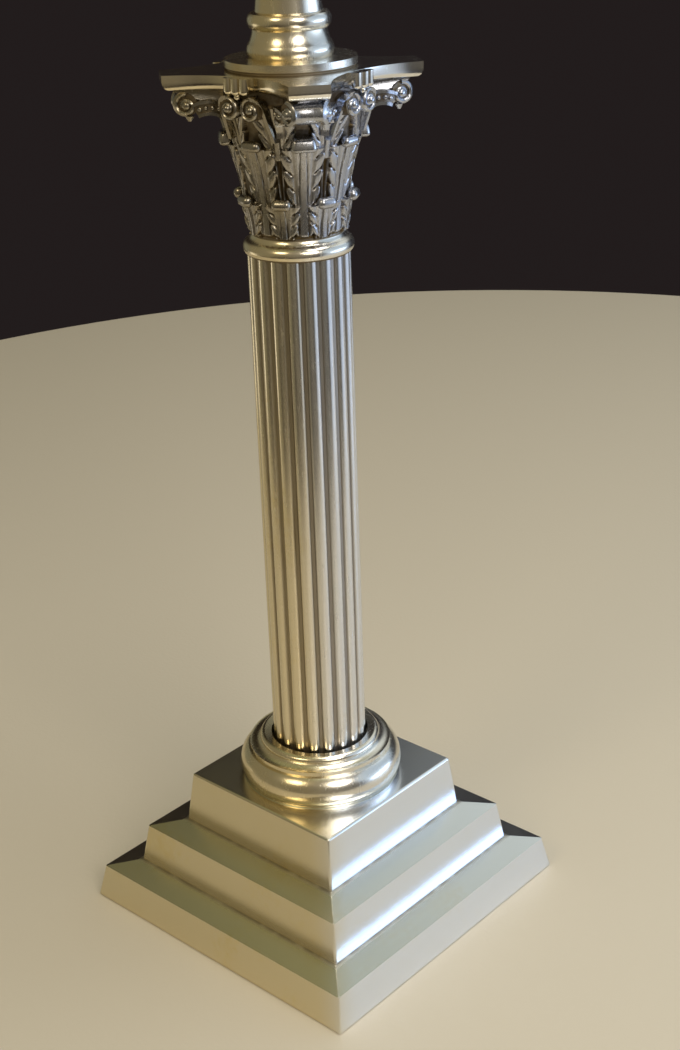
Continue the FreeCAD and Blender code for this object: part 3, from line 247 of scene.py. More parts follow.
def carvedPlate(look):  # painted shade follows the shade depth kept while the leaves are shaped: darker in hollows, creases and under curls
    material, wire, place = newMaterial("carved_plate")
    colour, roughness, relief = plateSurface(wire, place, look)
    depth = wire.node("ShaderNodeAttribute", {"attribute_name": "recess"}, None, "Fac")
    grain = wire.noise(place, look["grain"], detail=3.0)
    paintedShade = (depth + (grain - 0.5) * look["grainShare"]).ramp(*look["shadeEdges"])
    colour = paintedShade.mix(colour, look["tarnishAndShade"])
    roughness = roughness + paintedShade * look["shadeRough"]
    return finished(material, wire, look, colour, roughness, relief + grain * look["grainRelief"], bareMetal)


brassLook = {
    "bright": rgb(0.78, 0.60, 0.29), "aged": rgb(0.50, 0.34, 0.14), "cloud": 70.0, "grain": 300.0,
    "stretch": (1.0, 1.0, 9.0), "cloudShare": 0.6, "grainShare": 0.4, "agedEdges": (0.42, 0.66),
    "rough": 0.14, "roughAged": 0.16, "roughGrain": 0.10, "bump": (0.00006, 0.5),
}


def burnerBrass(look):
    material, wire, place = newMaterial("burner_brass")
    cloud = wire.noise(place, look["cloud"], detail=4.0)
    grain = wire.noise(wire.stretched(place, look["stretch"]), look["grain"], detail=3.0)
    aged = (cloud * look["cloudShare"] + grain * look["grainShare"]).ramp(*look["agedEdges"])
    colour = aged.mix(look["bright"], look["aged"])
    roughness = aged * look["roughAged"] + grain * look["roughGrain"] + look["rough"]
    return finished(material, wire, look, colour, roughness, grain, bareMetal)


steelLook = {
    "bright": rgb(0.52, 0.51, 0.48), "rust": rgb(0.25, 0.17, 0.11), "cloud": 140.0, "turned": 120.0,
    "stretch": (1.0, 1.0, 30.0), "rustEdges": (0.42, 0.70), "rough": 0.2, "roughCloud": 0.25, "roughTurned": 0.15,
    "bump": (0.00008, 0.5),
}


def plainSteel(look):
    material, wire, place = newMaterial("plain_steel")
    cloud = wire.noise(place, look["cloud"], detail=4.0)
    turned = wire.noise(wire.stretched(place, look["stretch"]), look["turned"])
    colour = cloud.ramp(*look["rustEdges"]).mix(look["bright"], look["rust"])
    roughness = cloud * look["roughCloud"] + turned * look["roughTurned"] + look["rough"]
    return finished(material, wire, look, colour, roughness, turned, bareMetal)


ironLook = {
    "black": rgb(0.055, 0.052, 0.05), "rust": rgb(0.16, 0.075, 0.035), "grain": 480.0, "patch": 60.0,
    "rustEdges": (0.50, 0.68), "rough": 0.5, "roughGrain": 0.3, "metal": 0.35, "bump": (0.0004, 0.7),
}


def castIron(look):
    material, wire, place = newMaterial("cast_iron")
    grain = wire.noise(place, look["grain"], detail=5.0, rough=0.65)
    rust = wire.noise(place, look["patch"], detail=4.0).ramp(*look["rustEdges"])
    colour = rust.mix(look["black"], look["rust"])
    roughness = grain * look["roughGrain"] + look["rough"]
    return finished(material, wire, look, colour, roughness, grain, {"Metallic": look["metal"]})


woodLook = {
    "stops": [(0.30, rgb(0.16, 0.085, 0.04)), (0.72, rgb(0.40, 0.25, 0.13)), (0.5, rgb(0.29, 0.17, 0.085))],
    "pore": rgb(0.07, 0.035, 0.018), "grain": 26.0, "grainStretch": (1.0, 14.0, 4.0), "pores": 120.0,
    "poreStretch": (1.0, 30.0, 8.0), "poreEdges": (0.55, 0.70), "poreShare": 0.7, "rough": 0.5, "roughGrain": 0.25,
    "bump": (0.0002, 0.6),
}


def boardWood(look):
    material, wire, place = newMaterial("board_wood")
    grain = wire.noise(wire.stretched(place, look["grainStretch"]), look["grain"], detail=5.0, rough=0.6)
    pores = wire.noise(wire.stretched(place, look["poreStretch"]), look["pores"]).ramp(*look["poreEdges"])
    colour = wire.node("ShaderNodeValToRGB", {"stops": look["stops"]}, {0: grain})
    colour = (pores * look["poreShare"]).mix(colour, look["pore"])
    roughness = grain * look["roughGrain"] + look["rough"]
    return finished(material, wire, look, colour, roughness, grain - pores)


baizeLook = {
    "dark": rgb(0.018, 0.075, 0.035), "light": rgb(0.055, 0.16, 0.08), "fibre": 1600.0, "patch": 90.0,
    "fibreShare": 0.6, "patchShare": 0.4, "edges": (0.3, 0.7), "rough": 0.95, "sheen": 0.4, "bump": (0.0004, 0.8),
}


def greenFelt(look):
    material, wire, place = newMaterial("green_felt")
    fibre = wire.noise(place, look["fibre"], detail=4.0, rough=0.7)
    patch = wire.noise(place, look["patch"], detail=3.0)
    light = (fibre * look["fibreShare"] + patch * look["patchShare"]).ramp(*look["edges"])
    colour = light.mix(look["dark"], look["light"])
    return finished(material, wire, look, colour, look["rough"], fibre, {"Sheen Weight": look["sheen"]})


glassLook = {
    "colour": rgb(0.97, 0.985, 0.98), "bend": 1.47, "ripple": 45.0, "stretch": (1.0, 1.0, 0.35), "smoke": 60.0,
    "smokeEdges": (0.45, 0.75), "rough": 0.01, "roughSmoke": 0.03, "bump": (0.0003, 0.35),
}


def chimneyGlass(look):
    material, wire, place = newMaterial("chimney_glass")
    ripple = wire.noise(wire.stretched(place, look["stretch"]), look["ripple"])
    smoke = wire.noise(place, look["smoke"], detail=3.0).ramp(*look["smokeEdges"])
    roughness = smoke * look["roughSmoke"] + look["rough"]
    return finished(material, wire, look, look["colour"], roughness, ripple,
                    {"IOR": look["bend"], "Transmission Weight": 1.0})


cottonLook = {
    "shade": rgb(0.52, 0.46, 0.36), "thread": rgb(0.86, 0.82, 0.72), "char": rgb(0.02, 0.017, 0.015),
    "warp": 0.0011, "weft": 0.0009, "fuzz": 900.0, "weaveShare": 0.6, "fuzzShare": 0.4, "fuzzRelief": 0.5,
    "charReach": 0.004, "charEdges": (0.5605, 0.5632), "rough": 0.95, "bump": (0.0003, 0.8),
}


def threads(wire, place, pitch):  # rises and falls once per thread
    return wire.calc("SINE", place * (2 * math.pi / pitch)) * 0.5 + 0.5


def wickCotton(look):
    material, wire, place = newMaterial("wick_cotton")
    height = axisOf(wire, place, "Z")
    weave = threads(wire, axisOf(wire, place, "X"), look["warp"]) * threads(wire, height, look["weft"])
    fuzz = wire.noise(place, look["fuzz"], detail=3.0)
    colour = (weave * look["weaveShare"] + fuzz * look["fuzzShare"]).mix(look["shade"], look["thread"])
    char = (height + (fuzz - 0.5) * look["charReach"]).ramp(*look["charEdges"])
    colour = char.mix(colour, look["char"])
    return finished(material, wire, look, colour, look["rough"], weave + fuzz * look["fuzzRelief"])


looks = {
    "silver_plate": silverPlate("silver_plate", plateLook), "turned_plate": silverPlate("turned_plate", turnedLook),
    "base_plate": basePlate(baseLook), "reed_plate": reedPlate(reedLook), "carved_plate": carvedPlate(carvedLook),
    "burner_brass": burnerBrass(brassLook), "steel": plainSteel(steelLook), "cast_iron": castIron(ironLook),
    "board_wood": boardWood(woodLook), "felt": greenFelt(baizeLook), "chimney_glass": chimneyGlass(glassLook),
    "wick_cotton": wickCotton(cottonLook),
}
ownLooks = {"stepped_base": "base_plate", "column_foot": "turned_plate", "necking_ring": "turned_plate",
            "font_socket": "turned_plate", "column_shaft": "reed_plate", "capital": "carved_plate"}
for row in frame["record"]["subparts"]:
    node = nodes[row["node"]]
    node.data.materials.clear()
    node.data.materials.append(looks[ownLooks.get(row["node"], row["material_slot"])])
print("finishes on the frame:", len(looks))


def vertsOf(geom):
    return [item for item in geom if isinstance(item, bmesh.types.BMVert)]


def edgesOf(geom):
    return [item for item in geom if isinstance(item, bmesh.types.BMEdge)]


def faceOf(geom):
    return next(item for item in geom if isinstance(item, bmesh.types.BMFace))


def rounded(bm, geom, offset, cuts, affect="EDGES"):
    bmesh.ops.bevel(bm, geom=geom, offset=offset, offset_type="OFFSET", segments=cuts, profile=0.5, affect=affect,
                    material=-1)


def moved(bm, verts, step):
    bmesh.ops.translate(bm, verts=verts, vec=step)


def rotated(bm, verts, degrees, axis="Z", centre=(0, 0, 0)):
    bmesh.ops.rotate(bm, verts=verts, cent=centre, matrix=Matrix.Rotation(math.radians(degrees), 3, axis))


def grownLoop(bm, loop):
    grown = bmesh.ops.extrude_edge_only(bm, edges=loop)["geom"]
    return edgesOf(grown), vertsOf(grown)


def atRadius(vert, radius, level):
    return Vector((vert.co.x, vert.co.y, 0)).normalized() * radius + up * level


def post(bm, segments, foot, top, deep):  # upright cone or cylinder about the middle
    return bmesh.ops.create_cone(bm, cap_ends=True, segments=segments, radius1=foot, radius2=top, depth=deep)["verts"]


def linked(name, data):
    made = bpy.data.objects.new(name, data)
    scene.collection.objects.link(made)
    return made


def meshed(bm, name, material, sharp):
    mesh = bpy.data.meshes.new(name)
    bm.to_mesh(mesh)
    bm.free()
    mesh.shade_smooth()
    mesh.set_sharp_from_angle(angle=math.radians(sharp))
    mesh.materials.append(material)
    return linked(name, mesh)


def placed(bm, name, look, body, replaced=(), sharp=32.0, turn=0.0):  # closes and sets a piece
    bmesh.ops.remove_doubles(bm, verts=bm.verts, dist=weldGap)
    bmesh.ops.recalc_face_normals(bm, faces=bm.faces)
    rotated(bm, bm.verts, turn)
    bmesh.ops.scale(bm, verts=bm.verts, vec=(mm, mm, mm))
    piece = meshed(bm, name, looks[look], sharp)
    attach(piece, body)
    if replaced:
        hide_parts(*replaced)
    print(name, len(piece.data.polygons), "faces")
    return piece


base = {"half": 76.0, "steps": ((72.84, 15.93), (60.36, 18.53), (57.56, 36.63), (44.5, 39.23), (41.7, 63.4)),
        "wall": 2.4, "edge": 0.9, "edgeCuts": 4, "convex": 0.5, "frame": 0.3, "wide": 60.0}


def steppedBase():
    bm = bmesh.new()
    bmesh.ops.create_grid(bm, x_segments=1, y_segments=1, size=base["half"])
    face, half, level = bm.faces[:][0], base["half"], 0.0
    for nextHalf, nextLevel in base["steps"]:
        face = faceOf(bmesh.ops.extrude_face_region(bm, geom=[face])["geom"])
        share = nextHalf / half
        bmesh.ops.scale(bm, verts=face.verts, vec=(share, share, 1))
        moved(bm, face.verts, up * (nextLevel - level))
        half, level = nextHalf, nextLevel
    bm.normal_update()
    rims = [edge for edge in bm.edges if edge.is_manifold and edge.calc_face_angle_signed() > base["convex"]]
    rounded(bm, rims, base["edge"], base["edgeCuts"])
    wide = [face for face in bm.faces if face.calc_area() > base["wide"]]
    bmesh.ops.inset_individual(bm, faces=wide, thickness=base["frame"])  # keeps the flats flat in shading
    bmesh.ops.recalc_face_normals(bm, faces=bm.faces)
    bmesh.ops.solidify(bm, geom=bm.faces[:], thickness=base["wall"])
    for vert in bm.verts:
        vert.co.z = max(vert.co.z, 0.0)
    placed(bm, "stepped_base_plate", "base_plate", "stand", ["stepped_base"])


steppedBase()

# bellDark is painted shade on the bare bell between the leaves and inside the lip, mouth and bore
capital = {"seat": 313.0, "turn": 5.6, "height": 57.5, "bellFoot": 18.5, "bellLip": 28.0, "lipLevel": 53.0,
           "lipEdge": 1.0, "flare": 175.0, "bore": 14.5, "boreTop": 10.0, "mouth": 23.0, "columns": 60, "rows": 126,
           "sectors": 8, "bellDark": 0.5, "leafSharp": 50.0, "scrollSharp": 38.0}
upperLeaf = {"foot": 0.8, "top": 36.4, "footHalf": 3.6, "topHalf": 8.6, "spread": 0.9, "footRise": 1.2,
             "topRise": 3.2, "lean": 2.4, "lobe": 6.0, "sweep": 0.75, "ribHalf": 1.4, "ribThin": 0.45, "pipes": 3.5,
             "scallop": 0.24}
lowerLeaf = {"foot": 0.2, "top": 14.0, "footHalf": 3.4, "topHalf": 7.0, "spread": 0.6, "footRise": 1.7,
             "topRise": 3.3, "lean": 1.6, "lobe": 4.4, "sweep": 0.6, "ribHalf": 0.9, "ribThin": 0.3, "pipes": 2.5,
             "scallop": 0.26}
calyxLeaf = {"foot": 31.0, "top": 52.5, "footHalf": 1.8, "topHalf": 10.4, "spread": 0.7, "footRise": 1.6,
             "topRise": 2.6, "lean": 1.5, "lobe": 5.2, "sweep": 1.1, "ribHalf": 0.9, "ribThin": 0.3, "pipes": 3.5,
             "scallop": 0.2}
# the Dark keys and edgeShade paint shade into the leaves' seams, eyes, vein lines, pipes and edges
leafForm = {"curl": 1.6, "edgeSoft": 0.5, "footFade": 0.03, "topFade": 0.985, "eyeAt": 0.60, "eyeSize": 0.5,
            "outer": (0.45, 0.70), "pipe": (0.16, 0.30), "pipeFade": 0.6, "ribFoot": 1.1, "ribOut": 0.25,
            "ribIn": 0.15, "lineHalf": 0.38, "lineOff": 0.3, "dish": 0.22, "lobeRise": 0.55, "seamCut": 0.55,
            "eyeCut": 0.8, "ribRise": 0.3, "lineCut": 0.35, "pipeCut": 0.32, "seamDark": 0.45, "eyeDark": 0.7,
            "lineDark": 0.35, "pipeDark": 0.3, "edgeDark": 0.35, "edgeShade": (0.8, 0.2)}
stalk = {"foot": 12.0, "top": 34.0, "footApart": 0.7, "topApart": 1.4, "rise": 1.9, "thin": 0.55, "footFade": 0.1,
         "topFade": 0.96, "lit": 0.85}


def eased(low, high, value):
    share = min(max((value - low) / (high - low), 0.0), 1.0)
    return share * share * (3 - 2 * share)


def bellRadius(height):
    run = capital["bellLip"] - capital["bellFoot"]
    span = math.hypot(capital["lipLevel"], run)
    lever = math.sqrt(capital["flare"] ** 2 - (span / 2) ** 2)
    centreUp = capital["lipLevel"] / 2 - lever * run / span
    centreOut = (capital["bellLip"] + capital["bellFoot"]) / 2 + lever * capital["lipLevel"] / span
    return centreOut - math.sqrt(capital["flare"] ** 2 - (height - centreUp) ** 2)


def leafRelief(leaf, across, height):  # how far a leaf stands off the bell, and how deep in shadow it is
    form = leafForm
    along = (height - leaf["foot"]) / (leaf["top"] - leaf["foot"])
    if not 0.0 < along < 1.0:
        return 0.0, 1.0
    half = leaf["footHalf"] + (leaf["topHalf"] - leaf["footHalf"]) * along ** leaf["spread"]
    share = across / half
    lifted = height - leaf["sweep"] * half * share ** form["curl"]  # lobes turn up towards the edge
    flow = (lifted / leaf["lobe"]) % 1.0
    arch = math.sqrt(max(1 - (2 * flow - 1) ** 2, 0.0))
    edge = half * (1 - leaf["scallop"] * (1 - arch))
    inside = eased(0.0, form["edgeSoft"], edge - across) * eased(0.0, form["footFade"], along)
    inside *= eased(1.0, form["topFade"], along)
    fromSeam = min(flow, 1 - flow) * leaf["lobe"]
    fromEye = across - form["eyeAt"] * half
    eye = math.exp(-(fromSeam / form["eyeSize"]) ** 2 - (fromEye / form["eyeSize"]) ** 2)
    stand = leaf["footRise"] + (leaf["topRise"] - leaf["footRise"]) * along ** leaf["lean"]
    outer = eased(*form["outer"], share)
    seam = (1 - arch) ** 3 * outer
    wave = 0.5 - 0.5 * math.cos(2 * math.pi * share * leaf["pipes"])
    pipe = wave * eased(*form["pipe"], share) * (1 - form["pipeFade"] * outer)
    ribHalf = leaf["ribHalf"] * (form["ribFoot"] - leaf["ribThin"] * along)
    rib = eased(ribHalf + form["ribOut"], ribHalf - form["ribIn"], across)
    line = 1 - eased(0.0, form["lineHalf"], abs(across - ribHalf - form["lineOff"]))
    rise = (stand * (1 - form["dish"] * share ** 2) + form["lobeRise"] * arch * outer - form["seamCut"] * seam
            - form["eyeCut"] * eye + form["ribRise"] * rib)
    rise -= form["lineCut"] * line + form["pipeCut"] * pipe
    dark = (form["seamDark"] * seam + form["eyeDark"] * eye + form["lineDark"] * line + form["pipeDark"] * pipe
            + form["edgeDark"] * eased(*form["edgeShade"], edge - across))
    return max(rise, 0.0) * inside, 1 - (1 - min(1.0, dark)) * inside


def stalkRelief(across, height):  # two ridges side by side that open towards the top, painted lit on the ridges and in shade beside them
    along = (height - stalk["foot"]) / (stalk["top"] - stalk["foot"])
    if not 0.0 < along < 1.0:
        return 0.0, 1.0
    apart = stalk["footApart"] + (stalk["topApart"] - stalk["footApart"]) * along ** 2
    ridge = math.exp(-((across - apart) / stalk["thin"]) ** 2)
    fade = eased(0.0, stalk["footFade"], along) * eased(1.0, stalk["topFade"], along)
    return stalk["rise"] * (0.5 + 0.5 * along) * ridge * fade, 1 - stalk["lit"] * ridge * fade


def shapeSector(bm, depth):  # one leaf and half of each neighbour, from a flat grid
    step = 2 * math.pi / capital["sectors"]
    tall = capital["lipLevel"] - capital["lipEdge"]
    bmesh.ops.create_grid(bm, x_segments=capital["columns"], y_segments=capital["rows"], size=0.5)
    for vert in bm.verts:
        angle, height = vert.co.x * step, (vert.co.y + 0.5) * tall
        bell = bellRadius(height)
        fromStalk = bell * (step / 2 - abs(angle))
        best, dark = 0.0, capital["bellDark"]
        for rise, shade in (leafRelief(upperLeaf, bell * abs(angle), height),
                            stalkRelief(fromStalk, height), leafRelief(lowerLeaf, fromStalk, height),
                            leafRelief(calyxLeaf, fromStalk, height)):
            if rise > best:
                best, dark = rise, shade
        reach = bell + best
        vert.co = (reach * math.cos(angle), reach * math.sin(angle), height)
        vert[depth] = dark


def since(bm, before):  # what was added to a mesh
    return [vert for vert in bm.verts if vert not in before]


def copiesAround(bm, count, before, first=0.0):  # repeats what was added since then, from a share of a step on
    fresh = since(bm, before)
    rotated(bm, fresh, 360 / count * first)
    inside = set(fresh)
    edges = [edge for edge in bm.edges if edge.verts[0] in inside and edge.verts[1] in inside]
    faces = [face for face in bm.faces if face.verts[0] in inside and face.verts[-1] in inside]
    turn = 2 * math.pi / count
    bmesh.ops.spin(bm, geom=fresh + edges + faces, cent=(0, 0, 0), axis=up, dvec=(0, 0, 0),
                   angle=turn * (count - 1), steps=count - 1, use_duplicate=True)


def closeBell(bm, depth):  # lip, mouth and bore, from the relief's upper edge round to its foot
    rims = [edge for edge in bm.edges if edge.is_boundary]
    topLevel = max(vert.co.z for vert in bm.verts)
    loop = [edge for edge in rims if all(vert.co.z > topLevel - levelGap for vert in edge.verts)]
    foot = [edge for edge in rims if all(vert.co.z < levelGap for vert in edge.verts)]
    # the lip, mouth and bore walls are painted in the bell's shade
    walls = ((capital["bellLip"], capital["lipLevel"]), (capital["bellLip"], capital["height"]),
             (capital["mouth"], capital["height"]), (capital["bore"], capital["boreTop"]), (capital["bore"], 0.0))
    for radius, level in walls:
        loop, verts = grownLoop(bm, loop)
        for vert in verts:
            vert.co = atRadius(vert, radius, level)
            vert[depth] = capital["bellDark"]
    bmesh.ops.bridge_loops(bm, edges=loop + foot)


def carvedLeaves():
    bm = bmesh.new()
    depth = bm.verts.layers.float.new("recess")
    shapeSector(bm, depth)
    copiesAround(bm, capital["sectors"], set())
    bmesh.ops.remove_doubles(bm, verts=bm.verts, dist=levelGap)
    closeBell(bm, depth)
    moved(bm, bm.verts, up * capital["seat"])
    placed(bm, "carved_leaves", "carved_plate", "stand", ["capital"], capital["leafSharp"],
           capital["turn"])


carvedLeaves()

tips = {"lowerReach": 22.9, "lowerLevel": 14.6, "lowerRound": 2.25, "lowerWide": 7.6,
        "faceReach": 26.5, "faceLevel": 37.0, "faceRound": 2.1, "faceWide": 8.4,
        "segments": 24, "endShare": 0.85, "endCuts": 6, "shadeFrom": 0.3, "dark": 0.6,
        "cornerReach": 27.0, "cornerLevel": 38.0, "cornerSize": (5.4, 10.4, 5.6), "cornerTaper": 0.84,
        "cornerLean": 0.9, "cornerEdge": 1.9, "cornerCuts": 5, "cornerShade": 1.2}


def rolledTip(bm, depth, reach, level, radius, wide):  # pill that a leaf's end curls into, painted in shade towards its underside
    before = set(bm.verts)
    roll = post(bm, tips["segments"], radius, radius, wide)
    ends = [edge for edge in {edge for vert in roll for edge in vert.link_edges}
            if abs(edge.verts[0].co.z - edge.verts[1].co.z) < levelGap]
    rounded(bm, ends, radius * tips["endShare"], tips["endCuts"])
    roll = since(bm, before)
    rotated(bm, roll, 90, "X")
    moved(bm, roll, (reach, 0, level))
    for vert in roll:
        vert[depth] = eased(level - tips["shadeFrom"] * radius, level - radius, vert.co.z) * tips["dark"]
    return before


def cornerTip(bm, depth):  # squared curl of the leaf under each volute, painted in shade at its foot
    before = set(bm.verts)
    block = bmesh.ops.create_cube(bm, size=1.0)["verts"]
    long, wide, tall = tips["cornerSize"]
    for vert in block:
        upper = vert.co.z > 0
        taper, lean = (tips["cornerTaper"], tips["cornerLean"]) if upper else (1.0, 0.0)
        vert.co = (vert.co.x * long - lean, vert.co.y * wide * taper, vert.co.z * tall)
    edges = list({edge for vert in block for edge in vert.link_edges})
    rounded(bm, edges, tips["cornerEdge"], tips["cornerCuts"])
    low = tips["cornerLevel"] - tall / 2
    for vert in since(bm, before):
        vert.co += Vector((tips["cornerReach"], 0, tips["cornerLevel"]))
        vert[depth] = eased(low + tips["cornerShade"], low, vert.co.z) * tips["dark"]
    copiesAround(bm, corners, before, 0.5)


def profileFace(bm, points):
    return bm.faces.new([bm.verts.new(point) for point in points])


def sweep(bm, face, centre, degrees, steps):  # turns a section round a centre and returns the far end
    geom = [face] + face.edges[:] + face.verts[:]
    end = bmesh.ops.spin(bm, geom=geom, cent=centre, axis=(0, 1, 0), dvec=(0, 0, 0), angle=math.radians(degrees),
                         steps=steps)["geom_last"]
    return faceOf(end)


def spiral(bm, face, scroll, across, way):  # quarter turns of shrinking radius
    inward = [Vector((0, 0, 1)), Vector((way, 0, 0)), Vector((0, 0, -1)), Vector((-way, 0, 0))]
    centre = Vector((across, 0, scroll["level"]))
    for quarter in range(scroll["quarters"]):
        face = sweep(bm, face, centre, 90 * way, scroll["steps"])
        centre += inward[(quarter + 1) % 4] * (scroll["radius"] * scroll["shrink"])


def discFacing(bm, radius, near, far, across, level, segments=28):  # short cylinder with its axis along Y
    disc = post(bm, segments, radius, radius, abs(far - near))
    rotated(bm, disc, 90, "X")
    moved(bm, disc, (across, (near + far) / 2, level))
    return disc


def ball(bm, radius, place, around=14, rows=9):
    made = bmesh.ops.create_uvsphere(bm, u_segments=around, v_segments=rows, radius=radius)["verts"]
    moved(bm, made, place)


volute = {"reach": 41.3, "level": 51.9, "radius": 4.9, "band": 1.9, "shrink": 0.125, "quarters": 6, "steps": 7,
          "front": 46.2, "frontHalf": 5.8, "splay": 0.5, "back": 34.5, "backHalf": 11.65, "draw": 0.2,
          "plane": 10.0, "rim": 0.9, "crown": 0.5, "web": 1.1, "webShare": 0.86, "webDark": 0.6,
          "eye": 1.7, "eyeShift": 0.2, "eyeSink": 0.7}
spur = {"round": 1.8, "tip": 0.6, "tall": 2.0, "up": 0.7, "back": 1.0, "sides": 12}
tail = {"reach": 33.3, "level": 41.2, "inner": 7.0, "outer": 12.6, "from": 30, "turn": 124, "steps": 22, "rim": 1.2,
        "deep": 2.6, "sink": 0.8, "step": 0.1, "dark": 0.5,
        "beads": 7, "bead": 0.95, "beadFrom": 20, "beadTurn": 15, "beadSink": 0.75}


def tailArc(bm, side, inner, outer, near, far):  # part of a ring round the tail's centre
    centre = (tail["reach"], 0, tail["level"])
    section = ((near, inner), (far, inner), (far, outer), (near, outer))
    face = profileFace(bm, [(centre[0], side * out, centre[2] + high) for out, high in section])
    rotated(bm, face.verts, tail["from"], "Y", centre)
    sweep(bm, face, centre, -tail["turn"], tail["steps"])


def voluteFace(bm, depth, side):  # web, eye, spur, tail and beads of one side of a corner volute; the sunk web and tail band are painted in shade
    reach, level, plane = volute["reach"], volute["level"], volute["plane"]
    deep = plane - tail["deep"]
    for vert in discFacing(bm, volute["radius"] * volute["webShare"], side * deep, side * (plane - volute["web"]),
                           reach, level):
        vert[depth] = volute["webDark"]
    shift = volute["eyeShift"]
    ball(bm, volute["eye"], (reach + shift, side * (plane - volute["eyeSink"]), level - shift))
    point = post(bm, spur["sides"], spur["tip"], spur["round"], spur["tall"])
    pointLevel = level - volute["radius"] - 0.5 * spur["tall"] + spur["up"]
    moved(bm, point, (reach - spur["back"], side * (plane - spur["round"]), pointLevel))
    inner, outer, rim = tail["inner"], tail["outer"], tail["rim"]
    before = set(bm.verts)
    tailArc(bm, side, inner + rim / 2, outer - rim / 2, deep, plane - tail["sink"])
    for vert in since(bm, before):
        vert[depth] = tail["dark"]
    tailArc(bm, side, inner, inner + rim, deep, plane - tail["step"])
    tailArc(bm, side, outer - rim, outer, deep, plane)
    lever = (inner + outer) / 2
    for bead in range(tail["beads"]):
        angle = math.radians(tail["beadFrom"] - tail["beadTurn"] * bead)
        ball(bm, tail["bead"], (tail["reach"] + lever * math.sin(angle), side * (plane - tail["beadSink"]),
                                tail["level"] + lever * math.cos(angle)))


def voluteHalf(reach):  # the sides spread from the front roll back to the stalks
    if reach > volute["back"]:
        return volute["frontHalf"] + (volute["front"] - reach) * volute["splay"]
    return volute["backHalf"] - (volute["back"] - reach) * volute["draw"]


neck = {"plane": 7.6,
        "outline": ((25.0, 57.4), (46.0, 57.4), (45.0, 56.2), (42.0, 55.4), (38.0, 54.0), (25.0, 51.0))}


def cornerVolutes(bm, depth):
    before = set(bm.verts)
    plane, rim, crown, reach = volute["plane"], volute["rim"], volute["crown"], volute["reach"]
    top = volute["level"] + volute["radius"]
    under = top - volute["band"]
    soft = volute["band"] / 4
    half = [(plane - 2 * rim, top - crown), (plane - rim, top), (plane - soft, top - soft / 2),
            (plane, top - 2 * soft), (plane - soft, under + soft / 2), (plane - rim, under)]
    around = half + [(-across, level) for across, level in reversed(half)]
    spiral(bm, profileFace(bm, [(reach, across, level) for across, level in around]), volute, reach, 1)
    for side in (1, -1):
        voluteFace(bm, depth, side)
    block = profileFace(bm, [(across, -neck["plane"], level) for across, level in neck["outline"]])
    grown = bmesh.ops.extrude_face_region(bm, geom=[block], use_keep_orig=True)["geom"]
    moved(bm, vertsOf(grown), (0, 2 * neck["plane"], 0))
    for vert in since(bm, before):
        vert.co.y = math.copysign(voluteHalf(vert.co.x) + abs(vert.co.y) - plane, vert.co.y)
    copiesAround(bm, corners, before, 0.5)


helix = {"across": 5.4, "level": 51.7, "radius": 4.8, "band": 1.7, "shrink": 0.12, "quarters": 6, "steps": 6,
         "back": 27.0, "face": 33.4, "web": 32.3, "webShare": 0.86, "webDark": 0.6, "eye": 1.6, "eyeSink": 0.7,
         "stemDeep": 3.4, "stemThick": 1.5, "stemRound": 5.2, "stemSteps": 8, "stemFoot": 39.0, "stemDraw": 0.6,
         "lean": 0.42}


def innerScrolls(bm, depth):
    before = set(bm.verts)
    centre, face, back = helix["across"], -helix["face"], -helix["back"]
    top = helix["level"] + helix["radius"]
    under = top - helix["band"]
    soft = helix["band"] / 4
    around = [(back, top), (back, under), (face + 2 * soft, under), (face + soft / 2, under + soft),
              (face, top - 2 * soft), (face + soft / 2, top - soft), (face + 2 * soft, top)]
    stemBack, stemUnder = face + helix["stemDeep"], top - helix["stemThick"]
    section = [(face, top), (stemBack, top), (stemBack, stemUnder), (face, stemUnder)]
    for side in (1, -1):
        sideBefore = set(bm.verts)
        spiral(bm, profileFace(bm, [(centre, deep, level) for deep, level in around]), helix, centre, -1)
        # the sunk web of each scroll is painted in shade
        for vert in discFacing(bm, helix["radius"] * helix["webShare"], back, -helix["web"], centre, helix["level"]):
            vert[depth] = helix["webDark"]
        ball(bm, helix["eye"], (centre, face + helix["eyeSink"], helix["level"]))
        bendBefore = set(bm.verts)
        stem = profileFace(bm, [(centre, deep, level) for deep, level in section])
        stem = sweep(bm, stem, (centre, 0, top - helix["stemRound"]), 90, helix["stemSteps"])
        end = vertsOf(bmesh.ops.extrude_face_region(bm, geom=[stem])["geom"])
        moved(bm, end, (helix["stemDraw"], 0, helix["stemFoot"] - top + helix["stemRound"]))
        for vert in since(bm, bendBefore):
            vert.co.y += (top - vert.co.z) * helix["lean"]
        if side < 0:
            bmesh.ops.scale(bm, verts=since(bm, sideBefore), vec=(-1, 1, 1))
    copiesAround(bm, corners, before)


def capitalScrolls():
    bm = bmesh.new()
    depth = bm.verts.layers.float.new("recess")
    before = rolledTip(bm, depth, tips["lowerReach"], tips["lowerLevel"], tips["lowerRound"], tips["lowerWide"])
    copiesAround(bm, capital["sectors"], before, 0.5)
    before = rolledTip(bm, depth, tips["faceReach"], tips["faceLevel"], tips["faceRound"], tips["faceWide"])
    copiesAround(bm, corners, before)
    cornerTip(bm, depth)
    cornerVolutes(bm, depth)
    innerScrolls(bm, depth)
    moved(bm, bm.verts, up * capital["seat"])
    placed(bm, "capital_scrolls", "carved_plate", "stand", (), capital["scrollSharp"],
           capital["turn"])


capitalScrolls()

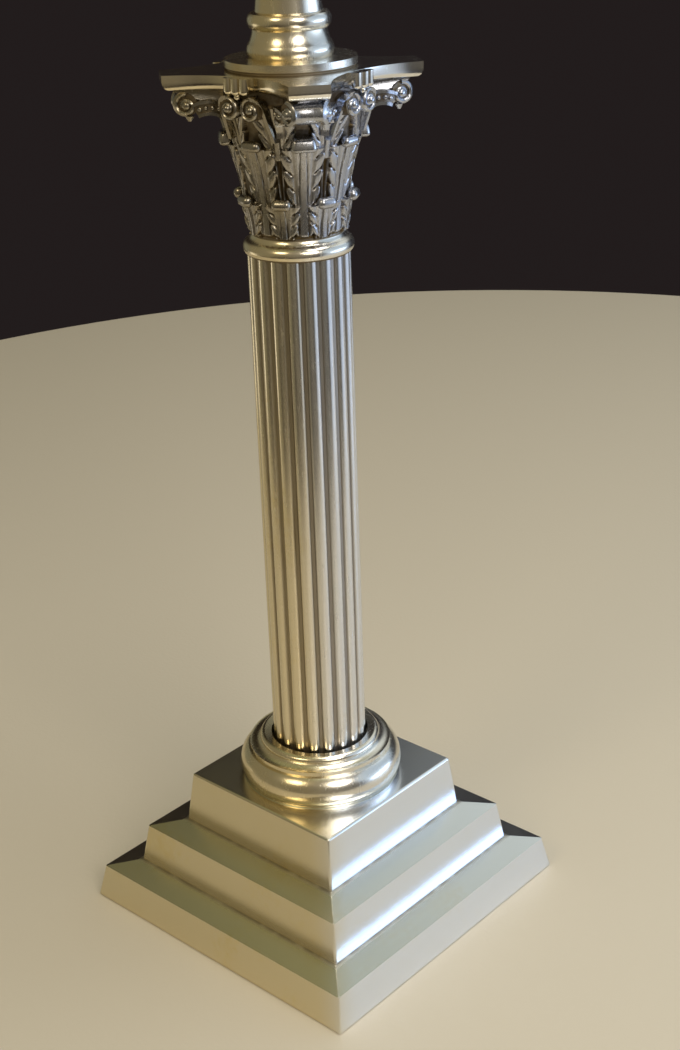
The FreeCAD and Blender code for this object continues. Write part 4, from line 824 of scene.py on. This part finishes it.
abacus = {"seat": 370.5, "height": 5.56, "segments": 168, "waist": 30.3, "far": 40.66, "near": 29.87,
          "bore": 5.05, "fascia": 2.5, "ovolo": 2.8, "ovoloSteps": 7}
fleuron = {"lobes": 3, "round": 2.0, "sides": 20, "footShare": 0.8, "footCuts": 5, "pitch": 3.7, "reach": 33.6,
           "bow": 0.12, "drop": 0.5, "bead": 1.3, "beadSink": 0.6,
           "root": 27.0, "rootHalf": 4.9, "rootFoot": -0.2, "rootSink": 0.05}
cutAngle = math.atan2(abacus["near"], abacus["far"])


def abacusReach(angle):  # plan of the slab: hollow sides and cut corners
    off = abs((angle + math.pi / 4) % (math.pi / 2) - math.pi / 4)
    if off > cutAngle:
        cut = (abacus["far"] + abacus["near"]) / math.sqrt(2)
        return cut / math.cos(math.pi / 4 - off)
    sag = abacus["far"] - abacus["waist"]
    hollow = (abacus["near"] ** 2 + sag ** 2) / (2 * sag)
    centre = abacus["waist"] + hollow
    lever = centre * math.cos(off)
    return lever - math.sqrt(lever ** 2 - centre ** 2 + hollow ** 2)


def slab(bm):  # upright fascia with an ovolo under it, and the bore
    top = abacus["height"]
    rim = bmesh.ops.create_circle(bm, segments=abacus["segments"], radius=1.0)["verts"]
    for vert in rim:
        angle = math.atan2(vert.co.y, vert.co.x)
        quarter = math.floor(angle / (math.pi / 2) + 0.5) * math.pi / 2
        if abs(abs(angle - quarter) - cutAngle) < math.pi / abacus["segments"]:
            angle = quarter + math.copysign(cutAngle, angle - quarter)
        reach = abacusReach(angle)
        vert.co = (reach * math.cos(angle), reach * math.sin(angle), top)
    outlineTop = list(bm.edges)
    loop = outlineTop
    low = top - abacus["fascia"]
    profile = [(0.0, low)]
    for turn in range(1, abacus["ovoloSteps"] + 1):
        angle = math.pi / 2 * turn / abacus["ovoloSteps"]
        profile.append((abacus["ovolo"] * (1 - math.cos(angle)), low - low * math.sin(angle)))
    done = 0.0
    for inset, level in profile:
        loop, verts = grownLoop(bm, loop)
        for vert in verts:
            flat = Vector((vert.co.x, vert.co.y, 0))
            vert.co = flat - flat.normalized() * (inset - done) + up * level
        done = inset
    for level in (0.0, top):
        loop, verts = grownLoop(bm, loop)
        for vert in verts:
            vert.co = atRadius(vert, abacus["bore"], level)
    bmesh.ops.bridge_loops(bm, edges=loop + outlineTop)


def fleurons(bm):  # three rounded lobes on a root, in the middle of each side
    before = set(bm.verts)
    top, reach, radius = abacus["height"], fleuron["reach"], fleuron["round"]
    rootTop = top - fleuron["rootSink"]
    root = bmesh.ops.create_cube(bm, size=1.0)["verts"]  # joins the lobes to the slab
    bmesh.ops.scale(bm, verts=root, vec=(reach - fleuron["root"], 2 * fleuron["rootHalf"],
                                         rootTop - fleuron["rootFoot"]))
    moved(bm, root, ((reach + fleuron["root"]) / 2, 0, (rootTop + fleuron["rootFoot"]) / 2))
    deep = top + fleuron["drop"]
    for lobe in range(fleuron["lobes"]):
        sideBefore = set(bm.verts)
        body = post(bm, fleuron["sides"], radius, radius, deep)
        foot = [edge for edge in {edge for vert in body for edge in vert.link_edges}
                if all(vert.co.z < 0 for vert in edge.verts)]
        rounded(bm, foot, radius * fleuron["footShare"], fleuron["footCuts"])
        across = (lobe - (fleuron["lobes"] - 1) / 2) * fleuron["pitch"]
        moved(bm, since(bm, sideBefore), (reach - abs(across) * fleuron["bow"], across, top - deep / 2))
    ball(bm, fleuron["bead"], (reach - fleuron["beadSink"], 0, -fleuron["drop"] - fleuron["beadSink"]))
    copiesAround(bm, corners, before)


def hollowAbacus():
    bm = bmesh.new()
    slab(bm)
    fleurons(bm)
    moved(bm, bm.verts, up * abacus["seat"])
    placed(bm, "hollow_abacus", "silver_plate", "stand", ["abacus"], turn=capital["turn"])


hollowAbacus()

felt = {"half": 70.0, "corner": 2.4, "cornerCuts": 4, "under": 0.6, "thick": 1.4, "cells": 48, "lump": 0.18,
        "pitch": 11.0, "waves": (2.1, 1.7), "shift": 0.6}


def baizePad():  # glued under the board, so only its lower side is uneven
    bm = bmesh.new()
    bmesh.ops.create_grid(bm, x_segments=felt["cells"], y_segments=felt["cells"], size=felt["half"])
    ends = [vert for vert in bm.verts if len(vert.link_edges) == 2]
    rounded(bm, ends, felt["corner"], felt["cornerCuts"], "VERTICES")
    rim = [edge for edge in bm.edges if edge.is_boundary]
    whole = bm.verts[:] + bm.edges[:] + bm.faces[:]
    lower = bmesh.ops.duplicate(bm, geom=whole)["geom"]
    lowerRim = [edge for edge in edgesOf(lower) if edge.is_boundary]
    acrossWave, alongWave = felt["waves"]
    for vert in vertsOf(lower):
        wave = math.sin(vert.co.x / felt["pitch"] * acrossWave)
        wave *= math.sin(vert.co.y / felt["pitch"] * alongWave + felt["shift"])
        vert.co.z -= felt["thick"] - felt["lump"] * (0.5 + 0.5 * wave)
    bmesh.ops.bridge_loops(bm, edges=rim + lowerRim)
    moved(bm, bm.verts, up * (felt["under"] + felt["thick"]))
    piece = placed(bm, "baize_pad", "felt", "stand", ["base_felt"])


baizePad()

wick = {"half": 14.0, "offset": 7.0, "thick": 2.7, "foot": 441.96, "top": 563.96, "across": 44, "along": 90,
        "edge": 1.2, "edgeThin": 0.7, "ribs": 11, "rib": 0.12, "sway": 0.12, "swayLong": 37.0,
        "ragged": 0.5, "frays": (29, 67), "frayFrom": 0.97, "sharp": 50.0}


def wovenWick(end, side):  # ribbed flat tape with a trimmed, slightly ragged top
    bm = bmesh.new()
    bmesh.ops.create_grid(bm, x_segments=wick["across"], y_segments=wick["along"], size=0.5)
    long = wick["top"] - wick["foot"]
    coarse, fine = wick["frays"]
    for vert in bm.verts:
        share = vert.co.y + 0.5
        ragged = (math.sin(vert.co.x * coarse) + math.sin(vert.co.x * fine + side)) / 4 + 0.5
        level = wick["foot"] + share * long - wick["ragged"] * ragged * eased(wick["frayFrom"], 1.0, share)
        vert.co = (2 * wick["half"] * vert.co.x, 0, level)
    bmesh.ops.recalc_face_normals(bm, faces=bm.faces)
    bmesh.ops.solidify(bm, geom=bm.faces[:], thickness=wick["thick"])
    middle = sum(vert.co.y for vert in bm.verts) / len(bm.verts)
    for vert in bm.verts:
        out = vert.co.y - middle
        inset = max(abs(vert.co.x) - wick["half"] + wick["edge"], 0.0) / wick["edge"]
        thin = 1 - wick["edgeThin"] * (1 - math.sqrt(max(1 - inset ** 2, 0.0)))
        rib = wick["rib"] * math.cos(math.pi * wick["ribs"] * vert.co.x / wick["half"])
        sway = wick["sway"] * math.sin(vert.co.z / wick["swayLong"] * 2 * math.pi)
        vert.co.y = out * thin + math.copysign(rib, out) + sway + side * wick["offset"]
    piece = placed(bm, "woven_wick_" + end, "wick_cotton", "wick_" + end, ["wick_" + end],
                   wick["sharp"])


wovenWick("front", -1)
wovenWick("back", 1)

camera = {"lens": 55.63, "sensor": 36.0, "clip": (0.01, 50.0), "azimuth": 42.2785, "pitch": 24.0738,
          "roll": -2.0223, "place": (436.61, -461.68, 467.78)}


def setCamera():
    data = bpy.data.cameras.new("photo_view")
    data.lens = camera["lens"]
    data.sensor_width = camera["sensor"]
    data.clip_start, data.clip_end = camera["clip"]
    eye = linked("photo_view", data)
    turn, tilt, roll = (math.radians(camera[key]) for key in ("azimuth", "pitch", "roll"))
    back = Vector((math.sin(turn) * math.cos(tilt), -math.cos(turn) * math.cos(tilt), math.sin(tilt)))
    right = Vector((math.cos(turn), math.sin(turn), 0))
    above = back.cross(right)
    rolledRight = right * math.cos(roll) + above * math.sin(roll)
    rolledUp = above * math.cos(roll) - right * math.sin(roll)
    axes = Matrix((rolledRight, rolledUp, back)).transposed()
    eye.matrix_world = Matrix.Translation(Vector(camera["place"]) * mm) @ axes.to_4x4()
    scene.camera = eye


setCamera()

stage = {"radius": 0.76, "centre": (-0.098, 0.247), "thick": 0.03, "segments": 160, "edge": 0.012, "edgeCuts": 4,
         "rimLevel": -0.001, "sharp": 40.0, "colour": rgb(0.62, 0.555, 0.45), "rough": 0.40, "bend": 2.0,
         "weave": 500.0, "bump": (0.0003, 0.3)}


def paleFloor():
    bm = bmesh.new()
    disc = post(bm, stage["segments"], stage["radius"], stage["radius"], stage["thick"])
    moved(bm, disc, (*stage["centre"], -stage["thick"] / 2))
    rim = [edge for edge in bm.edges if all(vert.co.z > stage["rimLevel"] for vert in edge.verts)]
    rounded(bm, rim, stage["edge"], stage["edgeCuts"])
    material, wire, place = newMaterial("pale_floor")
    weave = wire.noise(place, stage["weave"], detail=3.0)
    finished(material, wire, stage, stage["colour"], stage["rough"], weave, {"IOR": stage["bend"]})
    floor = meshed(bm, "pale_floor", material, stage["sharp"])


paleFloor()

lamps = {
    "window": {"place": (1.1, 1.0, 0.80), "aim": (0.1, 0.1, 0.1), "size": (2.4, 1.5), "power": 6.4,
               "colour": (0.66, 0.82, 1.0)},
    "low_sky": {"place": (2.2, 2.0, 0.25), "aim": (0, 0, 0.1), "size": (2.2, 0.6), "power": 12.0,
                "colour": (0.52, 0.70, 1.0)},
    "low_left": {"place": (-1.8, -0.72, -0.48), "aim": (0, 0, 0.3), "size": (0.9, 0.9), "power": 2.0,
                 "colour": (1.0, 0.92, 0.80)},
    "warm_left": {"place": (0.0, -2.2, 2.0), "aim": (0, 0, 0.2), "size": (1.0, 1.0), "power": 12.0,
                  "colour": (1.0, 0.86, 0.62)},
    "warm_right": {"place": (1.9, -0.7, 1.6), "aim": (0, 0, 0.2), "size": (1.2, 1.2), "power": 19.0,
                   "colour": (1.0, 0.93, 0.82)},
    "overhead": {"place": (0.5, 0.3, 2.4), "aim": (0, 0.1, 0), "size": (1.4, 1.4), "power": 25.0,
                 "colour": (1.0, 0.96, 0.89)},
}


def setLamps():
    for name, lamp in lamps.items():
        data = bpy.data.lights.new(name, "AREA")
        data.shape = "ELLIPSE"
        data.size, data.size_y = lamp["size"]
        data.energy = lamp["power"]
        data.color = lamp["colour"]
        light = linked(name, data)
        light.location = lamp["place"]
        light.rotation_mode = "QUATERNION"
        light.rotation_quaternion = (Vector(lamp["aim"]) - light.location).to_track_quat("-Z", "Y")
        light.visible_transmission = False  # keeps the clear glass from showing the lamps behind it


setLamps()

room = {"behind": rgb(0.016, 0.012, 0.012), "facing": (
    {"way": (0.60, -0.66, 0.45), "from": 0.35, "to": 0.92, "colour": rgb(0.21, 0.185, 0.14)},
    {"way": (0.74, 0.60, -0.30), "from": 0.74, "to": 0.95, "colour": rgb(0.56, 0.62, 0.70)},
    {"way": (-0.60, -0.72, 0.35), "from": 0.45, "to": 0.85, "colour": rgb(0.23, 0.205, 0.14)},
    {"way": (-0.99, 0.05, 0.0), "from": 0.90, "to": 0.98, "colour": rgb(0.20, 0.20, 0.16)},
    {"way": (-0.06, 0.65, 0.76), "from": 0.85, "to": 0.96, "colour": rgb(0.80, 0.83, 0.80)},
    {"way": (-0.1, 0.1, 0.99), "from": 0.72, "to": 0.90, "colour": rgb(0.30, 0.30, 0.18)})}


def setRoom():  # dark behind the lamp, with soft lights on the sides that it faces and overhead
    world = bpy.data.worlds.new("room")
    scene.world = world
    world.use_nodes = True
    wire = Wire(world.node_tree)
    place = wire.node("ShaderNodeTexCoord", output="Generated")
    colour = room["behind"]
    for side in room["facing"]:
        towards = wire.node("ShaderNodeVectorMath", {"operation": "DOT_PRODUCT"}, {0: place, 1: side["way"]},
                            "Value")
        colour = towards.ramp(side["from"], side["to"]).mix(colour, side["colour"])
    wire.tree.links.new(colour.socket, world.node_tree.nodes["Background"].inputs["Color"])


setRoom()
print("camera, floor and light set")
